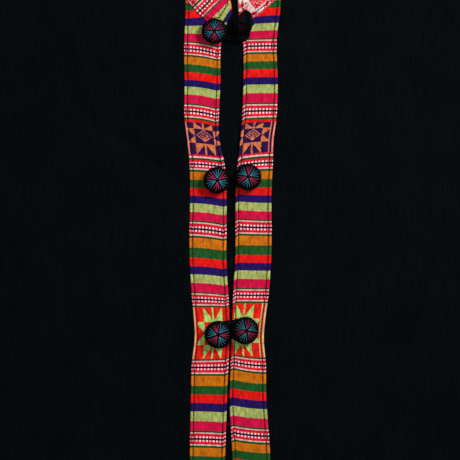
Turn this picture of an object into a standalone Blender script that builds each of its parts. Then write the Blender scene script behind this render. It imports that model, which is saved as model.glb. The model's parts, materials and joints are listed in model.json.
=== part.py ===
# Embroidered cotton jacket, laid flat on its back with the front upwards.
#
# Frame: +X is the viewer's right, +Y runs from the hem to the neck, +Z is up.
# The origin is on the resting surface, under the middle of the jacket's box.
# Lengths in this file are millimetres; MM turns them into metres.
import math

import bmesh
import bpy
from mathutils import Vector, geometry
from mathutils.bvhtree import BVHTree

MM = 0.001

# Cloth and seams
CLOTH = 1.2
RIBBON = 1.0
SEAM_GAP = 0.3

# Cut of the body, as half widths from the centre line and heights above the middle
HEM_Y = -310.0
NECK_POINT = (66.0, 310.0)
SHOULDER_END = (250.0, 270.0)
UNDERARM = (258.0, 62.0)
HEM_HALF_WIDTH = 272.0
BACK_NECK_DEPTH = 16.0
BACK_NECK_STEPS = 8

# Sleeves
SLEEVE_LENGTH = 430.0
SLEEVE_DROP = math.radians(24.0)
CUFF_WIDTH = 135.0
SLEEVE_SECTIONS = 17
SLEEVE_POINTS_ACROSS = 10
SLEEVE_EDGE = 1.6
SEAM_LIP = 3.0

# Grid of points inside the panels
ROW_STEP = 17.0
BODY_COLUMN_STEP = 16.0
BAND_COLUMNS = 2
BACK_STEP = 45.0
EDGE_STEP = 16.0
LINE_CLEARANCE = 5.5
OVERSHOOT = 1.5
ON_LINE = 0.6
MEETING_TOLERANCE = 0.01

# The front edges: at each height, the ribbon band's outer and inner edge on each side
FRONT_EDGES = [
    # height, left outer, left inner, right inner, right outer
    (-310.0, -38.0, -5.0, 4.5, 37.5),
    (-187.7, -36.3, -4.3, 2.0, 36.2),
    (-135.5, -35.4, -2.6, -0.5, 32.8),
    (-104.0, -34.6, -1.4, 0.5, 32.3),
    (-77.0, -32.0, 0.0, 1.4, 30.5),
    (-36.5, -35.0, -1.7, 2.8, 35.2),
    (-20.0, -35.9, -2.8, 3.8, 36.4),
    (-0.5, -36.7, -3.2, 4.7, 37.4),
    (50.8, -36.1, -3.1, 4.9, 37.4),
    (76.0, -36.5, -4.8, 6.6, 38.5),
    (98.5, -38.7, -9.4, 9.1, 39.2),
    (118.3, -41.1, -10.0, 10.9, 41.9),
    (150.7, -41.1, -8.6, 11.8, 43.0),
    (184.0, -41.4, -8.1, 11.7, 41.9),
    (202.9, -40.7, -3.2, 9.0, 43.6),
    (214.6, -40.2, 1.6, 7.1, 45.2),
    (239.0, -40.2, -1.8, 6.8, 46.0),
    (300.0, -41.0, -1.8, 6.8, 47.0),
]
LEFT_OUTER, LEFT_INNER, RIGHT_INNER, RIGHT_OUTER = 1, 2, 3, 4

# The neck ribbon on each side. corner: where neck edge and front edge meet. start_angle: the
# neck edge's slope there. end: corners of its cut front end, from the front edge outwards.
NECK_RIBBON_WIDTH = 33.1
NECK_STEPS = 7
NECK_TURN_START = 0.55
NECK_SIDES = {
    "left": {
        "corner": (-1.8, 232.6),
        "start_angle": 45.0,
        "end": [(1.3, 217.9), (-6.6, 205.3), (-20.2, 204.3)],
    },
    "right": {
        "corner": (6.8, 238.9),
        "start_angle": 38.0,
        "end": [(7.6, 213.7), (20.3, 207.4)],
    },
}

# Folds of the upper layer, as soft ridges (and troughs, where the height is negative)
FOLDS = [
    # name, start x, start y, end x, end y, height, half width
    ("drag to the middle buttons, upper ridge", -126.0, 146.0, -46.0, 84.0, 1.7, 13.0),
    ("drag to the middle buttons, trough", -150.0, 136.0, -42.0, 58.0, -0.9, 10.0),
    ("drag to the middle buttons, lower ridge", -142.0, 92.0, -46.0, 32.0, 1.3, 14.0),
    ("beside the left band, high", -76.0, 222.0, -70.0, 120.0, 1.2, 14.0),
    ("beside the left band, low", -70.0, -2.0, -72.0, -138.0, 1.5, 11.0),
    ("beside the left band, lowest", -64.0, -150.0, -58.0, -300.0, 1.3, 13.0),
    ("left cross crease", -154.0, -86.0, -84.0, -98.0, -0.8, 9.0),
    ("left side, long", -176.0, 60.0, -166.0, -150.0, 1.1, 17.0),
    ("left hem wave, inner", -128.0, -200.0, -118.0, -310.0, 1.9, 16.0),
    ("left hem wave, outer", -212.0, -170.0, -204.0, -310.0, 1.6, 17.0),
    ("left underarm", -232.0, 66.0, -158.0, -30.0, 1.9, 15.0),
    ("left shoulder", -196.0, 248.0, -118.0, 176.0, 1.6, 16.0),
    ("beside the right band, high", 62.0, 214.0, 70.0, 96.0, 1.1, 14.0),
    ("beside the right band, middle trough", 50.0, 58.0, 60.0, -6.0, -0.7, 9.0),
    ("beside the right band, middle ridge", 68.0, 76.0, 76.0, -28.0, 1.3, 13.0),
    ("beside the right band, low", 44.0, -100.0, 88.0, -196.0, 1.4, 13.0),
    ("beside the right band, lowest", 66.0, -214.0, 70.0, -306.0, 1.2, 14.0),
    ("drag to the middle buttons, right", 132.0, 132.0, 58.0, 92.0, 1.1, 14.0),
    ("right side, long", 164.0, 40.0, 172.0, -130.0, 1.3, 16.0),
    ("right hem wave, inner", 138.0, -186.0, 132.0, -310.0, 1.6, 15.0),
    ("right hem wave, outer", 220.0, -150.0, 212.0, -310.0, 1.8, 17.0),
    ("right underarm", 230.0, 70.0, 152.0, -18.0, 1.7, 16.0),
    ("right shoulder", 190.0, 250.0, 112.0, 186.0, 1.4, 15.0),
    ("left sleeve, from the armhole", -278.0, 214.0, -372.0, 132.0, 1.6, 15.0),
    ("left sleeve, elbow upper", -412.0, 176.0, -450.0, 76.0, 1.9, 14.0),
    ("left sleeve, elbow lower", -444.0, 160.0, -498.0, 60.0, 1.5, 13.0),
    ("left sleeve, along the forearm", -500.0, 112.0, -598.0, 46.0, 1.2, 16.0),
    ("right sleeve, from the armhole", 280.0, 206.0, 366.0, 146.0, 1.8, 16.0),
    ("right sleeve, elbow upper", 404.0, 182.0, 440.0, 70.0, 1.5, 14.0),
    ("right sleeve, elbow lower", 452.0, 150.0, 490.0, 72.0, 1.8, 14.0),
    ("right sleeve, along the forearm", 508.0, 100.0, 604.0, 58.0, 1.3, 15.0),
]
FOLD_END_SHARE = 0.45
REST_LIFT = 1.0
LEAST_LIFT = 0.1
MOST_LIFT = 3.3
SEWN_EDGE_FADE = 42.0
FRONT_EDGE_LIFT = 0.35
FRONT_EDGE_FADE = 40.0

# Buttons: a domed disc on a thread stem. Places are on the jacket, angles tip the face.
BUTTON_RADIUS = 12.1
BUTTON_PROFILE = [
    # radius, height above the disc's back
    (0.0, 7.0),
    (5.0, 6.6),
    (8.8, 5.7),
    (11.3, 4.2),
    (BUTTON_RADIUS, 2.4),
    (11.4, 0.8),
    (9.5, 0.0),
    (0.0, 0.0),
]
BUTTON_STEPS = 18
BUTTON_MERGE = 0.05
STEM_RADIUS = 1.5
STEM_ROOM = 5.0
STEM_STEPS = 6
STEM_BEND = 0.35
BUTTONS = [
    # name, x, y, tip about X, tip about Y, stem foot x, stem foot y, height of the disc's back
    ("top_left", -13.9, 195.8, 1.0, -2.0, -13.8, 195.9, None),
    ("top_right", 15.5, 202.3, -2.0, -60.0, 20.5, 203.0, 13.2),
    ("middle_left", -12.1, 62.1, 1.0, 6.0, -11.8, 62.0, None),
    ("middle_right", 16.2, 64.6, -6.0, 1.0, 16.6, 64.9, None),
    ("bottom_left", -10.6, -76.3, 1.0, 1.0, -10.6, -76.3, None),
    ("bottom_right", 13.1, -72.6, 1.0, 14.0, 13.4, -72.7, 7.6),
]

# Loops: a flattened doubled cord in a long ring, lying on both bands
LOOPS = [
    # name, left end x, left end y, right end x, right end y, width over the cords, slot width
    ("top", -13.8, 195.9, 11.5, 193.6, 13.4, 3.8),
    ("middle", -11.8, 62.0, 16.6, 64.9, 15.6, 4.0),
    ("bottom", -10.6, -73.9, 13.4, -70.3, 17.8, 8.6),
]
LOOP_THICKNESS = 3.3
LOOP_END_POINTS = 7
LOOP_SIDE_POINTS = 3
LOOP_SEATS = (0.0, 0.15, 0.85, 1.0)
LOOP_SEAT_REACH = 0.45
CORD_FACETS = 2
PROBE_HEIGHT = 100.0

COLOURS = {
    # material: base colour, roughness
    "black_cotton": ((0.004, 0.0045, 0.005), 0.92),
    "woven_ribbon": ((0.62, 0.10, 0.06), 0.75),
    "button_thread": ((0.006, 0.012, 0.02), 0.6),
    "black_cord": ((0.005, 0.005, 0.006), 0.8),
}


def clear_scene():
    for item in list(bpy.data.objects):
        bpy.data.objects.remove(item, do_unlink=True)


def make_materials():
    materials = {}
    for name, (colour, roughness) in COLOURS.items():
        material = bpy.data.materials.new(name)
        material.use_nodes = True
        shader = material.node_tree.nodes["Principled BSDF"]
        shader.inputs["Base Color"].default_value = (*colour, 1.0)
        shader.inputs["Roughness"].default_value = roughness
        materials[name] = material
    return materials


def add_object(name, data, material, collection):
    item = bpy.data.objects.new(name, data)
    data.materials.append(material)
    collection.objects.link(item)
    return item


def table_value(rows, column, at):
    """A smooth curve through one column of a table, read at a value of its first column."""
    rows = sorted(rows)
    count = len(rows)
    if at <= rows[0][0]:
        return rows[0][column]
    if at >= rows[-1][0]:
        return rows[-1][column]
    k = max(i for i in range(count - 1) if rows[i][0] <= at)
    span = rows[k + 1][0] - rows[k][0]
    t = (at - rows[k][0]) / span

    def slope(i):
        low, high = max(i - 1, 0), min(i + 1, count - 1)
        return (rows[high][column] - rows[low][column]) / (rows[high][0] - rows[low][0])

    start, end = rows[k][column], rows[k + 1][column]
    return (
        (2 * t**3 - 3 * t**2 + 1) * start
        + (t**3 - 2 * t**2 + t) * span * slope(k)
        + (3 * t**2 - 2 * t**3) * end
        + (t**3 - t**2) * span * slope(k + 1)
    )


def smooth_step(value, low, high):
    t = min(max((value - low) / (high - low), 0.0), 1.0)
    return t * t * (3 - 2 * t)


def to_segment(x, y, start, end):
    """Distance from a point to a segment, and how far along the segment its foot is."""
    along_x, along_y = end[0] - start[0], end[1] - start[1]
    share = ((x - start[0]) * along_x + (y - start[1]) * along_y) / (along_x**2 + along_y**2)
    share = min(max(share, 0.0), 1.0)
    return math.hypot(x - start[0] - share * along_x, y - start[1] - share * along_y), share


def fold_height(x, y):
    total = 0.0
    for _, x0, y0, x1, y1, height, half_width in FOLDS:
        distance, share = to_segment(x, y, (x0, y0), (x1, y1))
        swell = FOLD_END_SHARE + (1 - FOLD_END_SHARE) * math.sin(math.pi * share)
        total += height * swell * math.exp(-((distance / half_width) ** 2))
    return total


def sewn_edges(side):
    """The body's sewn edges on one side, as segments: shoulder, armhole and side seam."""
    sign = -1.0 if side == "left" else 1.0
    corners = [NECK_POINT, SHOULDER_END, UNDERARM, (HEM_HALF_WIDTH, HEM_Y)]
    corners = [(sign * x, y) for x, y in corners]
    return list(zip(corners, corners[1:]))


def front_lift(x, y, side):
    """Height of a front panel's underside over the back panel's top, past the seam gap."""
    to_seam = min(to_segment(x, y, a, b)[0] for a, b in sewn_edges(side))
    fade = smooth_step(to_seam, 0.0, SEWN_EDGE_FADE)
    inner = LEFT_INNER if side == "left" else RIGHT_INNER
    from_edge = abs(x - table_value(FRONT_EDGES, inner, y))
    open_fade = smooth_step(from_edge, 0.0, FRONT_EDGE_FADE)
    rest = FRONT_EDGE_LIFT + (REST_LIFT - FRONT_EDGE_LIFT) * open_fade
    lift = (rest + fold_height(x, y)) * fade
    return min(max(lift, LEAST_LIFT * fade), MOST_LIFT)


def neck_curve(side):
    """The neck edge of one front, from the front corner to the neck point at the shoulder."""
    sign = -1.0 if side == "left" else 1.0
    start = Vector(NECK_SIDES[side]["corner"])
    end = Vector((sign * NECK_POINT[0], NECK_POINT[1]))
    angle = math.radians(NECK_SIDES[side]["start_angle"])
    heading = Vector((sign * math.cos(angle), math.sin(angle)))
    middle = start + heading * (end - start).length * 0.5
    points = []
    for k in range(NECK_STEPS + 1):
        t = k / NECK_STEPS
        points.append((1 - t) ** 2 * start + 2 * t * (1 - t) * middle + t**2 * end)
    return points


def neck_ribbon_edge(side):
    """The neck ribbon's cut end and lower edge, from the front edge to the shoulder seam."""
    sign = -1.0 if side == "left" else 1.0
    upper = neck_curve(side)
    shoulder = Vector((sign * SHOULDER_END[0], SHOULDER_END[1])) - upper[-1]
    shoulder.normalize()
    lower = []
    for k, point in enumerate(upper):
        before, after = upper[max(k - 1, 0)], upper[min(k + 1, len(upper) - 1)]
        along = (after - before).normalized()
        across = Vector((along.y, -along.x)) * sign
        turn = smooth_step(k / NECK_STEPS, NECK_TURN_START, 1.0)
        direction = (across * (1 - turn) + shoulder * turn).normalized()
        lower.append(point + direction * NECK_RIBBON_WIDTH)
    end = [Vector(corner) for corner in NECK_SIDES[side]["end"]]
    return end + [p for p in lower if sign * (p.x - end[-1].x) > LINE_CLEARANCE]


def neck_footprint(side):
    return neck_curve(side) + neck_ribbon_edge(side)[::-1]


def extended(line):
    """A line of points, made a little longer at both ends so that it crosses an outline."""
    first = line[0] + (line[0] - line[1]).normalized() * OVERSHOOT
    last = line[-1] + (line[-1] - line[-2]).normalized() * OVERSHOOT
    return [first] + line[1:-1] + [last]


def edge_line(column, low, high):
    """Points along one column of the front edges, from low to high."""
    count = max(2, round((high - low) / ROW_STEP))
    heights = [low + (high - low) * k / count for k in range(count + 1)]
    return [Vector((table_value(FRONT_EDGES, column, y), y)) for y in heights]


def split_line(start, end, step=EDGE_STEP):
    """Points from start to end, without the end itself."""
    start, end = Vector(start), Vector(end)
    count = max(1, round((end - start).length / step))
    return [start.lerp(end, k / count) for k in range(count)]


def inside(point, outline):
    """Whether a point lies inside a closed outline, by counting crossings."""
    x, y = point[0], point[1]
    found = False
    previous = outline[-1]
    for current in outline:
        if (current[1] > y) != (previous[1] > y):
            crossing = current[0] + (y - current[1]) / (previous[1] - current[1]) * (
                previous[0] - current[0]
            )
            if x < crossing:
                found = not found
        previous = current
    return found


def triangulate(outline, lines, free_points):
    """Triangles inside an outline that follow the given lines and pass through free points."""
    points = [Vector(p) for p in outline]
    count = len(points)
    edges = [(k, (k + 1) % count) for k in range(count)]
    segments = [(outline[a], outline[b]) for a, b in edges]
    for line in lines:
        first = len(points)
        points += [Vector(p) for p in line]
        edges += [(first + k, first + k + 1) for k in range(len(line) - 1)]
        segments += list(zip(line, line[1:]))
    for point in free_points:
        near = min(to_segment(point[0], point[1], a, b)[0] for a, b in segments)
        if inside(point, outline) and near > LINE_CLEARANCE:
            points.append(Vector(point))
    found = geometry.delaunay_2d_cdt(points, edges, [list(range(count))], 1, MEETING_TOLERANCE)
    used, faces = {}, []
    for face in found[2]:
        faces.append([used.setdefault(v, len(used)) for v in face])
    return [tuple(found[0][v]) for v in used], faces


def front_outline(side):
    sign = -1.0 if side == "left" else 1.0
    inner = LEFT_INNER if side == "left" else RIGHT_INNER
    neck = neck_curve(side)
    corners = [
        NECK_POINT,
        SHOULDER_END,
        UNDERARM,
        (HEM_HALF_WIDTH, HEM_Y),
    ]
    corners = [Vector((sign * x, y)) for x, y in corners]
    hem_inner = Vector((table_value(FRONT_EDGES, inner, HEM_Y), HEM_Y))
    outline = edge_line(inner, HEM_Y, neck[0].y)[:-1] + neck[:-1]
    for start, end in zip(corners, corners[1:] + [hem_inner]):
        outline += split_line(start, end)
    return outline


def top_of_column(side, column):
    """The height at which a band's outer edge meets the neck edge."""
    sign = -1.0 if side == "left" else 1.0
    neck = neck_curve(side)
    for low, high in zip(neck, neck[1:]):
        x = table_value(FRONT_EDGES, column, high.y)
        if sign * high.x >= sign * x:
            share = (x - low.x) / (high.x - low.x)
            return low.y + share * (high.y - low.y)
    return neck[-1].y


def front_points(side):
    """Rows of points in a front panel, in step with its band's edges."""
    sign = -1.0 if side == "left" else 1.0
    inner = LEFT_INNER if side == "left" else RIGHT_INNER
    outer = LEFT_OUTER if side == "left" else RIGHT_OUTER
    points = []
    rows = int((NECK_POINT[1] - HEM_Y) / ROW_STEP) + 1
    for row in range(1, rows):
        y = HEM_Y + row * ROW_STEP
        start = table_value(FRONT_EDGES, inner, y)
        stop = table_value(FRONT_EDGES, outer, y)
        for k in range(1, BAND_COLUMNS + 1):
            points.append((start + (stop - start) * k / (BAND_COLUMNS + 1), y))
        shift = 0.5 * BODY_COLUMN_STEP * (row % 2)
        columns = int(HEM_HALF_WIDTH / BODY_COLUMN_STEP)
        for k in range(columns):
            points.append((stop + sign * (shift + (k + 0.5) * BODY_COLUMN_STEP), y))
    return points


def sheet_object(name, points, faces, thickness, material, collection):
    """A cloth panel: an open surface, given its thickness upwards."""
    mesh = bpy.data.meshes.new(name)
    mesh.from_pydata([[c * MM for c in p] for p in points], [], faces)
    mesh.update()
    item = add_object(name, mesh, material, collection)
    solid = item.modifiers.new("cloth thickness", "SOLIDIFY")
    solid.thickness = thickness * MM
    solid.offset = 1.0
    return item


def make_back(material, collection):
    right = [NECK_POINT, SHOULDER_END, UNDERARM, (HEM_HALF_WIDTH, HEM_Y)]
    left = [(-x, y) for x, y in reversed(right)]
    outline = []
    for start, end in zip(right + left[:-1], right[1:] + left):
        outline += split_line(start, end, BACK_STEP)
    for k in range(BACK_NECK_STEPS):
        t = k / BACK_NECK_STEPS
        x = -NECK_POINT[0] * math.cos(math.pi * t)
        outline.append(Vector((x, NECK_POINT[1] - BACK_NECK_DEPTH * math.sin(math.pi * t))))
    count = int(2 * HEM_HALF_WIDTH / BACK_STEP)
    free = [
        (-HEM_HALF_WIDTH + (k + 0.5 * (j % 2)) * BACK_STEP, HEM_Y + j * BACK_STEP)
        for j in range(1, int((NECK_POINT[1] - HEM_Y) / BACK_STEP) + 1)
        for k in range(count + 1)
    ]
    points, faces = triangulate(outline[::-1], [], free)
    flat = [(x, y, 0.0) for x, y in points]
    return sheet_object("back", flat, faces, CLOTH, material, collection)


def make_front(side, material, collection):
    outline = front_outline(side)
    outer = LEFT_OUTER if side == "left" else RIGHT_OUTER
    band_line = edge_line(outer, HEM_Y, top_of_column(side, outer))
    lines = [extended(band_line), extended(neck_ribbon_edge(side))]
    if side == "right":
        outline.reverse()
    points, faces = triangulate(outline, lines, front_points(side))
    base = CLOTH + SEAM_GAP
    lifted = [(x, y, base + front_lift(x, y, side)) for x, y in points]
    return sheet_object(f"front_{side}", lifted, faces, CLOTH, material, collection)


def make_overlay(name, front, keeps, lift, material, collection):
    """A piece that lies on a front panel: the panel's own triangles, moved out."""
    mesh = front.data
    used, faces = {}, []
    for face in mesh.polygons:
        centre = face.center / MM
        if keeps(centre):
            faces.append([used.setdefault(v, len(used)) for v in face.vertices])
    points = [None] * len(used)
    for old, new in used.items():
        vertex = mesh.vertices[old]
        place = vertex.co / MM
        points[new] = tuple(place + vertex.normal * lift(place))
    return sheet_object(name, points, faces, RIBBON, material, collection)


def in_band(point, side, margin=0.0):
    inner = LEFT_INNER if side == "left" else RIGHT_INNER
    outer = LEFT_OUTER if side == "left" else RIGHT_OUTER
    edges = sorted(table_value(FRONT_EDGES, column, point[1]) for column in (inner, outer))
    return edges[0] - margin < point[0] < edges[1] + margin


def make_band(side, front, material, collection):
    on_cloth = CLOTH + SEAM_GAP
    return make_overlay(
        f"band_{side}",
        front,
        lambda p: in_band(p, side),
        lambda p: on_cloth,
        material,
        collection,
    )


def make_neck_ribbon(side, front, material, collection):
    footprint = neck_footprint(side)
    on_cloth = CLOTH + SEAM_GAP
    on_band = on_cloth + RIBBON + SEAM_GAP
    return make_overlay(
        f"neck_{side}",
        front,
        lambda p: inside(p, footprint),
        lambda p: on_band if in_band(p, side, ON_LINE) else on_cloth,
        material,
        collection,
    )


def make_sleeve(side, material, collection):
    """A sleeve folded flat: a tube through sections from the armhole to the cuff."""
    sign = -1.0 if side == "left" else 1.0
    armhole_top = Vector((SHOULDER_END[0] + SEAM_GAP, SHOULDER_END[1]))
    armhole_low = Vector((UNDERARM[0] + SEAM_GAP, UNDERARM[1]))
    along = Vector((math.cos(SLEEVE_DROP), -math.sin(SLEEVE_DROP)))
    cuff_top = armhole_top + along * SLEEVE_LENGTH
    cuff_low = cuff_top + Vector((along.y, -along.x)) * CUFF_WIDTH
    armhole = (armhole_low - armhole_top).normalized()
    outwards = Vector((-armhole.y, armhole.x)) * SEAM_LIP
    edge_height = 2 * CLOTH + SEAM_GAP
    rings = []
    for section in range(SLEEVE_SECTIONS + 1):
        share = section / SLEEVE_SECTIONS
        top = (armhole_top + outwards).lerp(cuff_top, share)
        low = (armhole_low + outwards).lerp(cuff_low, share)
        width = (low - top).length
        steps = [
            SLEEVE_EDGE + (width - 2 * SLEEVE_EDGE) * k / (SLEEVE_POINTS_ACROSS - 1)
            for k in range(SLEEVE_POINTS_ACROSS)
        ]
        ring = [(top, 0.5 * edge_height)]
        for step in steps:
            ring.append((top.lerp(low, step / width), 0.0))
        ring.append((low, 0.5 * edge_height))
        for step in reversed(steps):
            place = top.lerp(low, step / width)
            fade = smooth_step(min(step, width - step), SLEEVE_EDGE, SEWN_EDGE_FADE)
            fade *= smooth_step(share * SLEEVE_LENGTH, 0.0, SEWN_EDGE_FADE)
            lift = (REST_LIFT + fold_height(sign * place.x, place.y)) * fade
            lift = min(max(lift, LEAST_LIFT * fade), MOST_LIFT)
            ring.append((place, edge_height + lift))
        if section == 0:
            rings.append([(sign * (p.x - outwards.x), p.y - outwards.y, z) for p, z in ring])
        rings.append([(sign * p.x, p.y, z) for p, z in ring])
    count = len(rings[0])
    points = [p for ring in rings for p in ring]
    faces = []
    for r in range(len(rings) - 1):
        for k in range(count):
            a, b = r * count + k, r * count + (k + 1) % count
            faces.append((a, a + count, b + count, b))
    mesh = bpy.data.meshes.new(f"sleeve_{side}")
    mesh.from_pydata([[c * MM for c in p] for p in points], [], faces)
    shape = bmesh.new()
    shape.from_mesh(mesh)
    bmesh.ops.recalc_face_normals(shape, faces=shape.faces)
    lowest = min(shape.faces, key=lambda f: f.calc_center_median().z)
    if lowest.normal.z > 0:
        bmesh.ops.reverse_faces(shape, faces=shape.faces)
    shape.to_mesh(mesh)
    shape.free()
    item = add_object(f"sleeve_{side}", mesh, material, collection)
    solid = item.modifiers.new("cloth thickness", "SOLIDIFY")
    solid.thickness = CLOTH * MM
    solid.offset = -1.0
    return item


def surface_finder(items):
    """Returns a function giving the height of the highest of some objects near a place."""
    graph = bpy.context.evaluated_depsgraph_get()
    trees = [BVHTree.FromObject(item, graph) for item in items]

    def height(x, y, reach):
        found = []
        for dx, dy in [(0, 0), (reach, 0), (-reach, 0), (0, reach), (0, -reach)]:
            above = Vector((x + dx, y + dy, PROBE_HEIGHT)) * MM
            for tree in trees:
                hit = tree.ray_cast(above, Vector((0, 0, -1)))[0]
                if hit is not None:
                    found.append(hit.z / MM)
        return max(found)

    return height


def make_loops(height, material, collection):
    """The loops, each one seated on the highest ribbon under its two ends."""
    for name, x0, y0, x1, y1, width, slot in LOOPS:
        cord_width = 0.5 * (width - slot)
        path_radius = 0.5 * (slot + cord_width)
        start, end = Vector((x0, y0)), Vector((x1, y1))
        along = (end - start).normalized()
        across = Vector((-along.y, along.x))
        path = []
        for centre, turn in ((end, -0.5 * math.pi), (start, 0.5 * math.pi)):
            for k in range(LOOP_END_POINTS):
                angle = turn + math.pi * k / (LOOP_END_POINTS - 1)
                offset = along * math.cos(angle) + across * math.sin(angle)
                path.append(centre + offset * path_radius)
            next_centre = start if centre is end else end
            side = across if centre is end else -across
            for k in range(1, LOOP_SIDE_POINTS + 1):
                share = k / (LOOP_SIDE_POINTS + 1)
                path.append(centre.lerp(next_centre, share) + side * path_radius)
        reach = LOOP_SEAT_REACH * width
        samples = [start.lerp(end, s) for s in LOOP_SEATS]
        low = max(height(p.x, p.y, reach) for p in samples) + SEAM_GAP
        curve = bpy.data.curves.new(f"loop_{name}", "CURVE")
        curve.dimensions = "3D"
        curve.bevel_depth = 0.5 * cord_width * MM
        curve.bevel_resolution = CORD_FACETS
        spline = curve.splines.new("POLY")
        spline.points.add(len(path) - 1)
        spline.use_cyclic_u = True
        middle = (start + end) / 2
        for point, place in zip(spline.points, path):
            point.co = ((place.x - middle.x) * MM, (place.y - middle.y) * MM, 0.0, 1.0)
        item = add_object(f"loop_{name}", curve, material, collection)
        item.location = (middle.x * MM, middle.y * MM, (low + 0.5 * LOOP_THICKNESS) * MM)
        item.scale = (1.0, 1.0, LOOP_THICKNESS / cord_width)


def make_buttons(height, materials, collection):
    profile = bpy.data.meshes.new("button profile")
    points = [(r * MM, 0.0, z * MM) for r, z in BUTTON_PROFILE]
    edges = [(k, k + 1) for k in range(len(points) - 1)]
    profile.from_pydata(points, edges, [])
    profile.materials.append(materials["button_thread"])
    for name, x, y, tip_x, tip_y, foot_x, foot_y, raised in BUTTONS:
        foot = height(foot_x, foot_y, STEM_RADIUS) + SEAM_GAP
        back_height = foot + (STEM_ROOM if raised is None else raised)
        item = bpy.data.objects.new(f"button_{name}", profile)
        collection.objects.link(item)
        item.location = (x * MM, y * MM, back_height * MM)
        item.rotation_euler = (math.radians(tip_x), math.radians(tip_y), 0.0)
        turned = item.modifiers.new("turned", "SCREW")
        turned.steps = BUTTON_STEPS
        turned.render_steps = BUTTON_STEPS
        turned.use_merge_vertices = True
        turned.merge_threshold = BUTTON_MERGE * MM
        turned.use_smooth_shade = True
        make_stem(name, item, (foot_x, foot_y, foot), materials["black_cord"], collection)


def make_stem(name, button, foot, material, collection):
    """The thread stem, from its foot on the band to the middle of the button's back."""
    face = button.rotation_euler.to_matrix() @ Vector((0.0, 0.0, 1.0))
    foot = Vector(foot)
    head = button.location / MM - face * SEAM_GAP
    rise = (head - foot).length
    bend_low = foot + Vector((0.0, 0.0, STEM_BEND * rise))
    bend_high = head - face * STEM_BEND * rise
    curve = bpy.data.curves.new(f"stem_{name}", "CURVE")
    curve.dimensions = "3D"
    curve.bevel_depth = STEM_RADIUS * MM
    curve.bevel_resolution = CORD_FACETS
    curve.use_fill_caps = True
    spline = curve.splines.new("POLY")
    spline.points.add(STEM_STEPS)
    for k in range(STEM_STEPS + 1):
        t = k / STEM_STEPS
        place = (
            (1 - t) ** 3 * foot
            + 3 * t * (1 - t) ** 2 * bend_low
            + 3 * t**2 * (1 - t) * bend_high
            + t**3 * head
        )
        spline.points[k].co = (*(place * MM), 1.0)
    add_object(f"stem_{name}", curve, material, collection)


def main():
    clear_scene()
    materials = make_materials()
    collection = bpy.data.collections.new("embroidered jacket")
    bpy.context.scene.collection.children.link(collection)
    cotton, ribbon = materials["black_cotton"], materials["woven_ribbon"]
    make_back(cotton, collection)
    carriers = []
    for side in ("left", "right"):
        front = make_front(side, cotton, collection)
        make_sleeve(side, cotton, collection)
        carriers.append(make_band(side, front, ribbon, collection))
        carriers.append(make_neck_ribbon(side, front, ribbon, collection))
    height = surface_finder(carriers)
    make_loops(height, materials["black_cord"], collection)
    make_buttons(height, materials, collection)


main()
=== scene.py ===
# Looks of the embroidered jacket: fine cloth, woven ribbon, thread buttons and cord loops.
#
# Frame: +X is the viewer's right, +Y runs from the hem to the neck, +Z is up.
# Lengths in this file are millimetres; MM turns them into metres.
import json
import math

import bpy
import numpy as np
from mathutils import Euler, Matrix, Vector

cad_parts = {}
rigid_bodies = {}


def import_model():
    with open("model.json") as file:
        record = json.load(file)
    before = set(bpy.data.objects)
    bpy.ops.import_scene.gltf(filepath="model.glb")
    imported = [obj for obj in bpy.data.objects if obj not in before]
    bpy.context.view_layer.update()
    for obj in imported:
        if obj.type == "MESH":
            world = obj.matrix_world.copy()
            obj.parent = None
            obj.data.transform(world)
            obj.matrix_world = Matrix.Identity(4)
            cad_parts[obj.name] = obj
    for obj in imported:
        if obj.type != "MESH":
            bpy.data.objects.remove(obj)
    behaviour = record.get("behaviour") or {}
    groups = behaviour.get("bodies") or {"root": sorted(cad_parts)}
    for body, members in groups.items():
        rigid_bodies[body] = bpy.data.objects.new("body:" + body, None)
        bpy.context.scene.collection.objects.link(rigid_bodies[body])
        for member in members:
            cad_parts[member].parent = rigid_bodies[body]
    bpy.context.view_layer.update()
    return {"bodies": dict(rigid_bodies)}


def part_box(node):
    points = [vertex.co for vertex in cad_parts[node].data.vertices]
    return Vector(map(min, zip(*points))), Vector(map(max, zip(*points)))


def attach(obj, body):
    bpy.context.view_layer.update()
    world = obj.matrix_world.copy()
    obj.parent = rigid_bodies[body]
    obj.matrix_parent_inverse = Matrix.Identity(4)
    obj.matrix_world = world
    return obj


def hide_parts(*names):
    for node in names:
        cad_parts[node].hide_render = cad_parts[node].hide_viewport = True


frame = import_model()
BODY = next(iter(frame["bodies"]))
MM = 0.001

# Cloth and seams, as in the solids. LAYERS is two layers of cloth and the gap between.
CLOTH = 1.2
RIBBON = 1.0
SEAM_GAP = 0.3
LAYERS = 2 * CLOTH + SEAM_GAP

# Cut of the body, as half widths from the centre line and heights above the middle
HEM_Y = -310.0
NECK_POINT = (66.0, 310.0)
SHOULDER_END = (250.0, 270.0)
UNDERARM = (258.0, 62.0)
HEM_HALF_WIDTH = 272.0
BACK_NECK_DEPTH = 16.0
BODY_LENGTH = NECK_POINT[1] - HEM_Y

# Sleeves, which drop at an angle in degrees
SLEEVE_LENGTH = 430.0
SLEEVE_DROP = 24.0
CUFF_WIDTH = 135.0

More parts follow.
